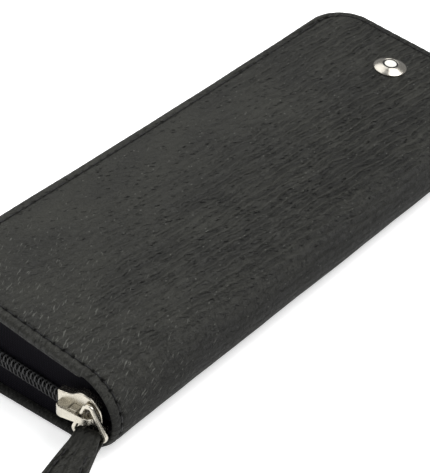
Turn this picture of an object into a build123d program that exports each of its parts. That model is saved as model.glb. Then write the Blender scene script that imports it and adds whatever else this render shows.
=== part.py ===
from build123d import *
import math
import os

# Fountain pen case: two leather covers on a half-round spine, closed on three sides by a zip.
# Frame: X across the width with the spine at +X, Y along the length with the zip pull at -Y, Z up.
# The origin is on the underside, in line with the middle of the length. Millimetres.

standing = (Align.CENTER, Align.CENTER, Align.MIN)  # a solid's foot in the middle of its plane
hanging = (Align.CENTER, Align.CENTER, Align.MAX)  # a solid's top in the middle of its plane

# --- case ---
case_length = 175.0
cover_reach = 54.2  # from the spine's tangent line to the zip edge, in the cover's own plane
spine_axis_x = 20.2
spine_radius = 11.8
wedge_deg = 7.5  # the case is fuller at the zip edge
corner_radius = 12.5
leather = 1.2
hem_thickness = 2.6
hem_width = 6.0
edge_round = 0.5
spine_leather = 1.3
board_thickness = 0.8
lining_thickness = 0.6
layer_gap = 0.05

# --- stitching ---
stitch_inset = 2.8
stitch_pitch = 3.2
stitch_length = 2.5
thread_width = 0.55
thread_height = 0.35
groove_width = 0.9
groove_depth = 0.4

# --- zip ---
tape_thickness = 0.6
coil_thickness = 1.6
coil_inset = 0.2  # the coil's face behind the lips of the covers
half_chain = 2.5
post_gap = 0.15
tape_edge_gap = 0.9
seam_drop = 1.3  # the chain runs this much below the plane midway between the covers
tape_flange = 5.0
tape_end_x = 29.6
upper_coil_end_x = 13.6
lower_coil_end_x = 26.6
far_coil_end_x = 22.0
far_stop_length = 3.0
top_stop_length = 1.6
stop_gap = 0.3

# --- slider ---
slider_x = 21.2
slider_length = 12.5
slider_height = 10.6
slider_neck = 7.4
slider_rise = 1.4  # the plates' middle above the chain's
slider_yaw = 6.0
plate_thickness = 0.8
coil_clearance = 0.15
post_length = 3.2
post_height = 1.3
crown_width = 2.9
crown_length = 9.9
crown_height = 2.7  # outwards from the outer plate
crown_offset = -0.5
crown_hole_length = 3.1
crown_hole_height = 2.3
crown_hole_x = 1.5
crown_bevel = 0.3

# --- pull ring and tab ---
wire = 1.2
ring_top = 1.7
ring_base = 10.2
ring_height = 8.4
ring_corner = 1.0
ring_at = (25.65, 1.86, 16.2)  # middle of the narrow side: x, outwards from the case's end, z
ring_yaw = 8.0
ring_roll = 2.7
ring_pitch = 5.0
tab_length = 38.0
tab_width_ring = 7.1
tab_width_end = 15.0
tab_leather = 0.85
tab_play = 0.15
tab_slope = 9.0
tab_tip_radius = 4.0
tab_stitch_inset = 1.6
tab_stitch_start = 6.5

# --- stud ---
stud_from_spine = 20.2  # inwards from the spine's axis
stud_from_end = 16.5
stud_diameter = 10.0
stud_top_diameter = 6.6
stud_height = 2.6
stud_inlay_diameter = 4.6
stud_inlay_depth = 0.6
stud_post_diameter = 3.0
stud_washer_diameter = 8.0
stud_washer_thickness = 0.8
running_fit = 0.05

# --- pen holder and pocket inside ---
pen_bore = 14.0
pen_pitch = 18.5
pen_count = 2
elastic_thickness = 0.9
elastic_width = 18.0
front_loops_from_end = 45.5
rear_loops_from_end = 53.5
holder_thickness = 0.9
holder_end_gap = 12.5
holder_zip_gap = 8.0
holder_margin = 3.0
pocket_length = 120.0
pocket_width = 38.0
pocket_zip_gap = 9.5
pocket_stud_gap = 5.0  # along the length, from the stud's washer to the pocket's end
pocket_thickness = 0.8
pocket_depth = 1.6
pocket_seam = 3.0

# --- worked out ---
half_length = case_length / 2
zip_edge_x = spine_axis_x - cover_reach
half_wedge = wedge_deg / 2
seam = Location((spine_axis_x, 0, spine_radius), (0, half_wedge, 0))
seam_plane = Plane(seam)
hinge_z = spine_radius - spine_radius * math.tan(math.radians(half_wedge))
far_out = 3 * case_length


def plan(inset, spine_x):
    """A cover's outline drawn in by inset on its three zip sides, up to spine_x."""
    low_x, half = zip_edge_x + inset, half_length - inset
    sketch = Pos((low_x + spine_x) / 2, 0) * Rectangle(spine_x - low_x, 2 * half)
    corners = sketch.vertices().group_by(Axis.X)[0]
    return fillet(corners, corner_radius - inset)


def slab(inset, low, high, spine_x=spine_axis_x):
    """The outline drawn in by inset, between two heights."""
    return Pos(0, 0, low) * extrude(plan(inset, spine_x), high - low)


def band(outer, inner, low, high, spine_x=spine_axis_x):
    """What lies between two insets of the outline."""
    return slab(outer, low, high, spine_x) - slab(inner, low - 1, high + 1, spine_x + 1)


def below_seam(gap):
    """Everything lower than gap below the plane midway between the covers."""
    return seam * Pos(0, 0, -gap - far_out / 2) * Box(far_out, far_out, far_out)


def inside_spine(gap):
    """What lies inside the spine's lining, and all that is left of the spine's axis."""
    radius = spine_radius - spine_leather - lining_thickness - gap
    round_part = Cylinder(radius, far_out, rotation=(90, 0, 0))
    left_part = Pos(-far_out / 2, 0, 0) * Box(far_out, far_out, 2 * far_out)
    return Pos(spine_axis_x, 0, spine_radius) * (round_part + left_part)


def mirrored(shape):
    """The upper cover's twin of a lower cover's piece."""
    return mirror(shape, about=seam_plane)


def path_points(inset, pitch):
    """Places and directions along the three zip sides at an inset, one each pitch."""
    low_x, half, radius = zip_edge_x + inset, half_length - inset, corner_radius - inset
    edge = Polyline((spine_axis_x, -half), (low_x, -half), (low_x, half), (spine_axis_x, half))
    route = FilletPolyline(*[tuple(v) for v in edge.vertices()], radius=radius)
    count = int(route.length / pitch)
    start = (route.length - (count - 1) * pitch) / 2
    for i in range(count):
        at = (start + i * pitch) / route.length
        yield route @ at, route % at


# --- covers ---
def cover_leather():
    """Flat leather with a turned hem, a shallow pocket for the board and a stitch groove."""
    body = slab(0, 0, hem_thickness)
    rim = [e for e in body.edges() if abs(e.center().Z - hem_thickness) < 1e-3 or abs(e.center().Z) < 1e-3]
    rim = [e for e in rim if e.center().X < spine_axis_x - 1]
    body = fillet(rim, edge_round)
    body -= slab(hem_width, leather, hem_thickness + 1, spine_axis_x - hem_width)
    half_groove = groove_width / 2
    body -= band(stitch_inset - half_groove, stitch_inset + half_groove, -1, groove_depth)
    return body


def cover_board():
    """Stiffener that lies in the leather's pocket."""
    inset = hem_width + layer_gap
    return slab(inset, leather, leather + board_thickness, spine_axis_x - inset)


def cover_lining():
    """Lining over the board, flush with the hem."""
    low = leather + board_thickness
    return slab(hem_width + layer_gap, low, low + lining_thickness, spine_axis_x - hem_width - layer_gap)


def cover_stitches():
    """Thread of the hem, one rounded bar for each stitch, lying in the groove."""
    threads = []
    for spot, along in path_points(stitch_inset, stitch_pitch):
        turn = math.degrees(math.atan2(along.Y, along.X))
        bar = extrude(SlotOverall(stitch_length, thread_width), thread_height)
        low = groove_depth - thread_height
        threads.append(Pos(spot.X, spot.Y, low) * Rot(0, 0, turn) * bar)
    return Compound(children=threads)


# --- spine ---
def spine_sector(outer, inner, length):
    """Lower part of the half-round spine, from its tangent line to the zip's middle plane."""
    ring = Cylinder(outer, length, rotation=(90, 0, 0)) - Cylinder(inner, 2 * length, rotation=(90, 0, 0))
    ring = Pos(spine_axis_x, 0, spine_radius) * ring
    right = Pos(spine_axis_x + far_out / 2, 0, 0) * Box(far_out, far_out, far_out)
    return ring & right & below_seam(0)


def spine_leather_part():
    return spine_sector(spine_radius, spine_radius - spine_leather, case_length)


def spine_lining_part():
    outer = spine_radius - spine_leather
    return spine_sector(outer, outer - lining_thickness, case_length - 2 * hem_width)


# --- zip ---
tape_inset = coil_inset + coil_thickness


def zip_tape(drop):
    """Woven tape: a wall up to the coil, and a flange sewn to the hem. The chain is drop below midway."""
    reach = tape_end_x + 5
    wall = band(tape_inset, tape_inset + tape_thickness, hem_thickness, 2 * spine_radius, reach)
    flange = band(tape_inset, tape_inset + tape_flange, hem_thickness, hem_thickness + tape_thickness)
    tape = (wall + flange) & inside_spine(layer_gap) & below_seam(tape_edge_gap + drop)
    return tape & (Pos(tape_end_x - far_out / 2, 0, 0) * Box(far_out, far_out, far_out))


def zip_coil(near_end_x, drop):
    """Half of the coil chain, in front of the tape's edge."""
    chain = band(coil_inset, tape_inset, 0, 3 * spine_radius, tape_end_x + 5)
    chain = (chain & below_seam(post_height / 2 + post_gap + drop)) - below_seam(half_chain + drop)
    near_half = Pos(near_end_x - far_out / 2, -far_out / 2, 0) * Box(far_out, far_out, far_out)
    far_half = Pos(far_coil_end_x - far_out / 2, far_out / 2, 0) * Box(far_out, far_out, far_out)
    return chain & (near_half + far_half)


def chain_place(x, y):
    """A place on the zip's middle line at x and y, turned with the seam."""
    return seam * Pos((x - spine_axis_x) / math.cos(math.radians(half_wedge)), y, -seam_drop)


def zip_stop(x, side, length, height):
    """A stop clamped over the chain's end."""
    depth = coil_thickness
    y = side * (half_length - coil_inset - depth / 2)
    return chain_place(x, y) * Pos(0, 0, -height / 2 - post_gap) * Box(length, depth, height)


# --- slider ---
def slider_outline(length, height, neck):
    """Shield outline: square at the chain's end, waisted, with rounded shoulders."""
    half, wide, narrow = length / 2, height / 2, neck / 2
    with BuildSketch(Plane.XZ) as sketch:
        with BuildLine():
            Line((-half, -narrow), (-half, narrow))
            Spline(
                (-half, narrow), (-0.2 * half, 1.02 * narrow), (0.35 * half, wide),
                tangents=((1, -0.1), (1, 0.3)))
            Spline(
                (0.35 * half, wide), (0.85 * half, 0.72 * wide), (half, 0),
                tangents=((1, 0.1), (0, -1)))
            Spline(
                (half, 0), (0.85 * half, -0.72 * wide), (0.35 * half, -wide),
                tangents=((0, -1), (-1, 0.1)))
            Spline(
                (0.35 * half, -wide), (-0.2 * half, -1.02 * narrow), (-half, -narrow),
                tangents=((-1, 0.3), (-1, -0.1)))
        make_face()
    return sketch.sketch


channel_front = half_length - coil_inset + coil_clearance
channel_back = half_length - tape_inset - tape_thickness - coil_clearance
yaw_swing = slider_length / 2 * math.sin(math.radians(slider_yaw))
# middle of the outer plate's face, from the case's middle
plate_face = channel_front + yaw_swing + plate_thickness
plate_back = channel_back - yaw_swing - plate_thickness
slider_mid = -(plate_face + plate_back) / 2
slider_frame = chain_place(slider_x, 0) * Pos(0, slider_mid, slider_rise) * Rot(0, 0, slider_yaw)


def slider_body():
    """Outer and inner plates with side flanges, joined by the post that parts the coils."""
    depth = plate_face - plate_back
    blank = extrude(slider_outline(slider_length, slider_height, slider_neck), depth / 2, both=True)
    body = slider_frame * blank
    centre = chain_place(slider_x, -(channel_front + channel_back) / 2)
    coil_room = centre * Box(far_out, channel_front - channel_back, 2 * (half_chain + coil_clearance))
    tape_room_depth = tape_thickness + 2 * coil_clearance
    tape_middle = chain_place(slider_x, -(channel_back + tape_room_depth / 2))
    tape_room = tape_middle * Box(far_out, tape_room_depth, far_out)
    cavity = coil_room + tape_room
    post_frame = chain_place(slider_x + slider_length / 2 - post_length, -(channel_front + channel_back) / 2)
    post = post_frame * Box(post_length, channel_front - channel_back + 1, post_height)
    return body - cavity + (post & body)


def slider_crown():
    """Massive crown along the outer plate, with a hole across it for the ring's leg."""
    half, outer = crown_length / 2, crown_height
    with BuildSketch(Plane.XY) as sketch:
        with BuildLine():
            Polyline((-half, 0), (-0.95 * half, -0.66 * outer), (-0.72 * half, -outer), (0.72 * half, -outer),
                     (0.92 * half, -0.6 * outer), (half, 0), close=True)
        make_face()
    block = extrude(sketch.sketch, crown_width / 2, both=True)
    crest = [e for e in block.edges() if abs(e.center().Y + outer) < 1e-3 and e.length > half]
    block = chamfer(crest, crown_bevel)
    face = slider_frame * Pos(0, -(plate_face - plate_back) / 2, 0)
    hole = Pos(crown_hole_x, 0, 0) * Box(crown_hole_length, 2 * crown_hole_height, 2 * crown_width)
    return face * (Pos(crown_offset, 0, 0) * block - hole)


# --- pull ring and tab ---
ring_frame = (Pos(ring_at[0], -half_length - ring_at[1], ring_at[2]) * Rot(0, 0, ring_yaw)
              * Rot(-ring_pitch, 0, 0) * Rot(0, -ring_roll, 0))


def pull_ring():
    """Trapezoid wire ring."""
    top, base = ring_top / 2, ring_base / 2
    with BuildSketch(Plane.XZ) as flat:
        with BuildLine():
            Polyline((-base, -ring_height), (base, -ring_height), (top, 0), (-top, 0), close=True)
        make_face()
    outer = offset(flat.sketch, wire / 2, kind=Kind.ARC)
    inner = offset(flat.sketch, -wire / 2, kind=Kind.INTERSECTION)
    inner = fillet(inner.vertices(), ring_corner - wire / 2)
    blank = extrude(outer - inner, wire / 2, both=True)
    rims = [e for e in blank.edges() if abs(abs(e.center().Y) - wire / 2) < 1e-3]
    return ring_frame * chamfer(rims, wire * 0.25)


tab_frame = ring_frame * Pos(0, 0, -ring_height)
tab_outer = wire / 2 + tab_play + tab_leather
tab_turn = tab_frame * Rot(tab_slope + ring_pitch, 0, 0)


def tab_outline():
    """Plan of the folded strap: narrow at the ring, wider at its rounded end."""
    near, far = tab_width_ring / 2, tab_width_end / 2
    points = ((-near, 0), (near, 0), (far, -tab_length), (-far, -tab_length))
    with BuildSketch() as sketch:
        with BuildLine():
            Polyline(*points, close=True)
        make_face()
    ends = sketch.sketch.vertices().group_by(Axis.Y)[0]
    return fillet(ends, tab_tip_radius)


def tab_leaf(low, high):
    return Pos(0, 0, low) * extrude(tab_outline(), high - low)


def pull_tab():
    """Strap folded round the ring's wide side, its two leaves sewn together."""
    hole = wire / 2 + tab_play
    fold = Cylinder(tab_outer, tab_width_ring, rotation=(0, 90, 0))
    leaves = tab_leaf(-tab_leather, tab_leather)
    taper = Pos(0, -2.2 * tab_outer / 2, 0) * Box(tab_width_ring, 2.2 * tab_outer, 2 * tab_outer * 0.72)
    body = fold + leaves + taper
    body -= Cylinder(hole, 4 * tab_width_ring, rotation=(0, 90, 0))
    return tab_turn * body


def tab_stitches():
    """Two rows of thread along the strap's edges."""
    slant = math.atan2((tab_width_end - tab_width_ring) / 2, tab_length)
    count = int((tab_length - tab_stitch_start - tab_tip_radius) / stitch_pitch)
    threads = []
    for side in (-1, 1):
        for i in range(count):
            y = -(tab_stitch_start + i * stitch_pitch)
            x = side * (tab_width_ring / 2 - y * math.tan(slant) - tab_stitch_inset)
            bar = extrude(SlotOverall(stitch_length, thread_width), thread_height / 2)
            place = Pos(x, y, tab_leather) * Rot(0, 0, -90 + side * math.degrees(slant))
            threads.append(tab_turn * place * bar)
    return Compound(children=threads)


# --- stud on the upper cover ---
top_slope = Location((spine_axis_x, 0, spine_radius), (0, wedge_deg, 0))
stud_run = (-stud_from_spine - spine_radius * math.sin(math.radians(wedge_deg))) / math.cos(
    math.radians(wedge_deg))
stud_frame = top_slope * Pos(stud_run, half_length - stud_from_end, spine_radius)
panel_depth = leather + board_thickness + lining_thickness


def stud_cap():
    """Polished cone with a seat for the inlay."""
    cone = Cone(stud_diameter / 2, stud_top_diameter / 2, stud_height, align=standing)
    seat = Pos(0, 0, stud_height - stud_inlay_depth) * Cylinder(
        stud_inlay_diameter / 2 + running_fit, 2, align=standing)
    return stud_frame * (cone - seat)


def stud_inlay():
    low = stud_height - stud_inlay_depth
    return stud_frame * Pos(0, 0, low) * Cylinder(
        stud_inlay_diameter / 2, stud_inlay_depth, align=standing)


def stud_post():
    """Rivet shank through leather, board and lining."""
    return stud_frame * Cylinder(
        stud_post_diameter / 2, panel_depth + stud_washer_thickness, align=hanging)


def stud_washer():
    ring = Cylinder(stud_washer_diameter / 2, stud_washer_thickness, align=hanging)
    hole = Cylinder(stud_post_diameter / 2 + running_fit, 4 * stud_washer_thickness)
    return stud_frame * Pos(0, 0, -panel_depth) * (ring - hole)


def stud_hole():
    return stud_frame * Cylinder(stud_post_diameter / 2 + running_fit, 6 * panel_depth)


# --- inside ---
inner_face = leather + board_thickness + lining_thickness
holder_width = pen_count * pen_pitch + 2 * holder_margin
holder_length = case_length - 2 * holder_end_gap
holder_mid_x = zip_edge_x + holder_zip_gap + holder_width / 2
pen_first_x = holder_mid_x - (pen_count - 1) * pen_pitch / 2


def pen_holder_base():
    """Leather strip under the pens, sewn to the lower lining."""
    blank = Box(holder_width, holder_length, holder_thickness, align=standing)
    blank = fillet(blank.edges().filter_by(Axis.Z), holder_margin)
    return Pos(holder_mid_x, 0, inner_face) * blank


def elastic_band(y):
    """One elastic band sewn down between the pens, so that it makes a row of loops."""
    floor_z = inner_face + holder_thickness
    radius = pen_bore / 2
    outer = radius + elastic_thickness
    side = 0.55 * pen_bore
    strip = Box(holder_width - 2 * holder_margin, elastic_width, elastic_thickness,
                align=standing)
    body = Pos(holder_mid_x, 0, 0) * strip
    for i in range(pen_count):
        x = pen_first_x + i * pen_pitch
        body += Pos(x, 0, side / 2) * Box(2 * outer, elastic_width, side)
        body += Pos(x, 0, side) * (Cylinder(outer, elastic_width, rotation=(90, 0, 0))
                                   & (Pos(0, 0, outer) * Box(4 * outer, 2 * elastic_width, 2 * outer)))
    for i in range(pen_count):
        x = pen_first_x + i * pen_pitch
        hole = Pos(x, 0, 0) * Box(pen_bore, 2 * elastic_width, 2 * side)
        hole += Pos(x, 0, side) * Cylinder(radius, 2 * elastic_width, rotation=(90, 0, 0))
        body -= hole
    return Pos(0, y, floor_z) * body


def slip_pocket():
    """Flat pocket on the upper lining, open on its long side towards the spine."""
    blank = Box(pocket_width, pocket_length, pocket_depth, align=standing)
    room = Pos(pocket_seam, 0, 0) * Box(
        pocket_width, pocket_length - 2 * pocket_seam, pocket_depth - pocket_thickness,
        align=standing)
    far_end = half_length - stud_from_end - stud_washer_diameter / 2 - pocket_stud_gap
    middle = (zip_edge_x + pocket_zip_gap + pocket_width / 2, far_end - pocket_length / 2)
    return Pos(*middle, inner_face) * (blank - room)


def build():
    """Every node, by name."""
    hole = stud_hole()
    upper_coil = zip_coil(upper_coil_end_x, -seam_drop)
    lower_coil = zip_coil(lower_coil_end_x, seam_drop)
    far_stop = zip_stop(far_coil_end_x + stop_gap + far_stop_length / 2, 1, far_stop_length, half_chain)
    top_stop = zip_stop(lower_coil_end_x + stop_gap + top_stop_length / 2, -1, top_stop_length, half_chain)
    nodes = {
        "lower_cover_leather": cover_leather(),
        "lower_cover_board": cover_board(),
        "lower_cover_lining": cover_lining(),
        "lower_edge_stitching": cover_stitches(),
        "upper_cover_leather": mirrored(cover_leather()) - hole,
        "upper_cover_board": mirrored(cover_board()) - hole,
        "upper_cover_lining": mirrored(cover_lining()) - hole,
        "upper_edge_stitching": mirrored(cover_stitches()),
        "lower_spine_leather": spine_leather_part(),
        "lower_spine_lining": spine_lining_part(),
        "upper_spine_leather": mirrored(spine_leather_part()),
        "upper_spine_lining": mirrored(spine_lining_part()),
        "lower_zip_tape": zip_tape(seam_drop),
        "upper_zip_tape": mirrored(zip_tape(-seam_drop)),
        "lower_zip_coil": lower_coil,
        "upper_zip_coil": mirrored(upper_coil),
        "zip_bottom_stop": far_stop,
        "zip_top_stop": top_stop,
        "slider_body": slider_body(),
        "slider_crown": slider_crown(),
        "pull_ring": pull_ring(),
        "pull_tab": pull_tab(),
        "pull_tab_stitching": tab_stitches(),
        "stud_cap": stud_cap(),
        "stud_inlay": stud_inlay(),
        "stud_post": stud_post(),
        "stud_washer": stud_washer(),
        "pen_holder_base": pen_holder_base(),
        "front_elastic_loops": elastic_band(front_loops_from_end - half_length),
        "rear_elastic_loops": elastic_band(half_length - rear_loops_from_end),
        "slip_pocket": mirrored(slip_pocket()),
    }
    return nodes


def main():
    os.makedirs("parts", exist_ok=True)
    for name, shape in build().items():
        export_step(shape, f"parts/{name}.step")
    ring_left = ring_frame * Pos(-ring_top / 2, 0, 0)
    ring_low = ring_frame * Pos(-ring_base / 2, 0, -ring_height)
    bar_mid = tab_frame
    print("cover hinge", spine_axis_x + spine_radius, hinge_z)
    print("ring axis from", ring_left.position, "to", ring_low.position)
    print("tab axis at", bar_mid.position, "along", (tab_frame * Pos(1, 0, 0)).position - bar_mid.position)
    print("slide along", (seam * Pos(1, 0, 0)).position - seam.position)


main()
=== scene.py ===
"""Dressed scene of a fountain pen case: leather wrap, zip, slider, stud and the fittings inside."""

import logging
import math
from dataclasses import dataclass
from enum import Enum
from typing import Callable, Iterable, Optional, Sequence

import bpy
import numpy as np
from mathutils import Matrix, Vector


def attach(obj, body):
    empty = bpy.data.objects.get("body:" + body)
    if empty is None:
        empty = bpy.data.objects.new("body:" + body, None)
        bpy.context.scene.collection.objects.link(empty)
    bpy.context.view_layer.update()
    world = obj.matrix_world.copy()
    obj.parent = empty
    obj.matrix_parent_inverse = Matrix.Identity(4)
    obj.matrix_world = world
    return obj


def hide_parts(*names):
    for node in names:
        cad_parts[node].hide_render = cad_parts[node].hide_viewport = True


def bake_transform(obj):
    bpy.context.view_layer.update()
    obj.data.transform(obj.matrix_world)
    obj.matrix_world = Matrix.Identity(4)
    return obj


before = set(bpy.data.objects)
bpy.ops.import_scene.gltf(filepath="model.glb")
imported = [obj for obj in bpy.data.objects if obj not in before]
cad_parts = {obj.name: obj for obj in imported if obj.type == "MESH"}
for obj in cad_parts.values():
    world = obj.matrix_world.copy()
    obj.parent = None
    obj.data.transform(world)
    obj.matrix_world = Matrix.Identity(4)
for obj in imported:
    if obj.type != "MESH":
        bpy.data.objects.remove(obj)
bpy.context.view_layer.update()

logging.basicConfig(level=logging.INFO, format="%(levelname)s %(message)s")
log = logging.getLogger("pen_case")

MM = 0.001


class Body(Enum):
    """Bodies of the assembly that pieces ride on."""

    BASE = "base"
    LID = "lid"
    SLIDER = "slider"
    RING = "ring"
    TAB = "tab"


class Slot(Enum):
    """Names of material slots; each pad keeps one, which the build never reads."""

    LEATHER = "leather"
    LINING = "lining"
    THREAD = "thread"
    TAPE = "tape"
    COIL = "coil"
    NICKEL = "nickel"
    INLAY = "inlay"
    ELASTIC = "elastic"


# --- colour and shader helpers ---


def linear(colour: str, alpha: float = 1.0) -> tuple[float, float, float, float]:
    """Turns an sRGB hex colour into scene-linear values.

    Args:
        colour: Six hex digits, without a leading mark.
        alpha: Opacity to append.

    Returns:
        Red, green, blue and alpha.
    """
    parts = [int(colour[i:i + 2], 16) / 255 for i in (0, 2, 4)]
    red, green, blue = (
        p / 12.92 if p <= 0.04045 else ((p + 0.055) / 1.055) ** 2.4 for p in parts
    )
    return red, green, blue, alpha


def add_node(tree: bpy.types.NodeTree, kind: str, sockets: Optional[dict] = None,
             **settings: object) -> bpy.types.Node:
    """Adds a shader node with its settings, and links or sets its sockets.

    Args:
        tree: Node tree of the material.
        kind: Type name of the node.
        sockets: Input names or numbers, each with a value or an output socket.
        **settings: Plain properties of the node.

    Returns:
        The new node.
    """
    made = tree.nodes.new(kind)
    for key, value in settings.items():
        setattr(made, key, value)
    for key, value in (sockets or {}).items():
        if isinstance(value, bpy.types.NodeSocket):
            tree.links.new(value, made.inputs[key])
        else:
            made.inputs[key].default_value = value
    return made


class Shader:
    """A material's node tree, with short calls for the patterns used here."""

    def __init__(self, name: str) -> None:
        """Starts an empty material with one principled surface."""
        self.material = bpy.data.materials.new(name)
        self.material.use_nodes = True
        self.tree = self.material.node_tree
        self.tree.nodes.clear()
        self.surface = add_node(self.tree, "ShaderNodeBsdfPrincipled")
        add_node(self.tree, "ShaderNodeOutputMaterial", {"Surface": self.surface.outputs[0]})

    def set(self, **values: object) -> None:
        """Sets the surface's sockets; an underscore in a name stands for a space."""
        for key, value in values.items():
            socket = self.surface.inputs[key.replace("_", " ")]
            if isinstance(value, bpy.types.NodeSocket):
                self.tree.links.new(value, socket)
            else:
                socket.default_value = value

    def flat(self) -> bpy.types.NodeSocket:
        """Place on the cut-out sheet, in millimetres, stored on the mesh."""
        return add_node(self.tree, "ShaderNodeAttribute", attribute_name="flat_mm").outputs["Vector"]

    def solid(self) -> bpy.types.NodeSocket:
        """Place in the object, in metres."""
        return add_node(self.tree, "ShaderNodeTexCoord").outputs["Object"]

    def value(self, name: str) -> bpy.types.NodeSocket:
        """A number stored on the mesh's points."""
        return add_node(self.tree, "ShaderNodeAttribute", attribute_name=name).outputs["Fac"]

    def scaled(self, place: bpy.types.NodeSocket, scale: Sequence[float],
               turn: float = 0.0) -> bpy.types.NodeSocket:
        """Stretches a pattern, then turns it.

        Args:
            place: Coordinates to map.
            scale: Number of lumps per unit along each axis of the pattern.
            turn: Turn of the stretched pattern about the third axis, in degrees.

        Returns:
            The mapped coordinates.
        """
        mapping = add_node(self.tree, "ShaderNodeMapping", {
            "Vector": place, "Scale": tuple(1 / v for v in scale), "Rotation": (0, 0, math.radians(turn))},
            vector_type="TEXTURE")
        return mapping.outputs[0]

    def parts(self, vector: bpy.types.NodeSocket) -> bpy.types.bpy_prop_collection:
        """The three components of a vector or colour."""
        return add_node(self.tree, "ShaderNodeSeparateXYZ", {0: vector}).outputs

    def warped(self, place: bpy.types.NodeSocket, scale: float, reach: float) -> bpy.types.NodeSocket:
        """Pushes a place about by a soft noise, by at most about half the reach each way."""
        push = add_node(self.tree, "ShaderNodeTexNoise", {"Vector": place, "Scale": scale, "Detail": 1.0})
        sockets = {0: push.outputs["Color"], 1: (reach, reach, 0.0), 2: place}
        return add_node(self.tree, "ShaderNodeVectorMath", sockets, operation="MULTIPLY_ADD").outputs[0]

    def noise(self, place: bpy.types.NodeSocket, scale: float, detail: float = 3.0,
              roughness: float = 0.55) -> bpy.types.NodeSocket:
        """Soft noise with the given number of lumps per unit."""
        made = add_node(self.tree, "ShaderNodeTexNoise", {
            "Vector": place, "Scale": scale, "Detail": detail, "Roughness": roughness})
        return made.outputs[0]

    def cells(self, place: bpy.types.NodeSocket, output: str = "Distance") -> bpy.types.NodeSocket:
        """Cell pattern with one cell per unit: distance from a cell's middle, or its own colour."""
        made = add_node(self.tree, "ShaderNodeTexVoronoi", {"Vector": place, "Scale": 1.0})
        return made.outputs[output]

    def wave(self, place: bpy.types.NodeSocket, scale: float, direction: str,
             **sockets: float) -> bpy.types.NodeSocket:
        """Even lines across a direction; ONE_LINE as the scale gives one line per unit."""
        return add_node(self.tree, "ShaderNodeTexWave", {"Vector": place, "Scale": scale, **sockets},
                        bands_direction=direction).outputs["Fac"]

    def ramp(self, source: bpy.types.NodeSocket, low: float, high: float,
             to_low: float = 0.0, to_high: float = 1.0) -> bpy.types.NodeSocket:
        """Maps a span of values onto another, clamped at both ends."""
        made = add_node(self.tree, "ShaderNodeMapRange", {
            "Value": source, "From Min": low, "From Max": high,
            "To Min": to_low, "To Max": to_high})
        return made.outputs[0]

    def math(self, operation: str, a: object, b: object = 0.0) -> bpy.types.NodeSocket:
        """One arithmetic step on numbers or sockets."""
        return add_node(self.tree, "ShaderNodeMath", {0: a, 1: b}, operation=operation).outputs[0]

    def times(self, a: object, b: object) -> bpy.types.NodeSocket:
        """Product of two numbers or sockets."""
        return self.math("MULTIPLY", a, b)

    def plus(self, a: object, b: object) -> bpy.types.NodeSocket:
        """Sum of two numbers or sockets."""
        return self.math("ADD", a, b)

    def larger(self, a: object, b: object) -> bpy.types.NodeSocket:
        """The larger of two numbers or sockets."""
        return self.math("MAXIMUM", a, b)

    def mix(self, factor: object, a: object, b: object) -> bpy.types.NodeSocket:
        """Blends two colours."""
        made = add_node(self.tree, "ShaderNodeMix", {0: factor, 6: a, 7: b}, data_type="RGBA")
        return made.outputs[2]

    def bump(self, height: bpy.types.NodeSocket, depth_mm: float, strength: float = 1.0,
             under: Optional[bpy.types.NodeSocket] = None) -> bpy.types.NodeSocket:
        """Turns a height pattern into a bumped normal of the given depth."""
        sockets = {"Height": height, "Distance": depth_mm * MM, "Strength": strength}
        if under is not None:
            sockets["Normal"] = under
        return add_node(self.tree, "ShaderNodeBump", sockets).outputs[0]


# --- finishes ---


ONE_LINE = 0.314  # scale of a wave pattern that gives one line per unit


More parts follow.
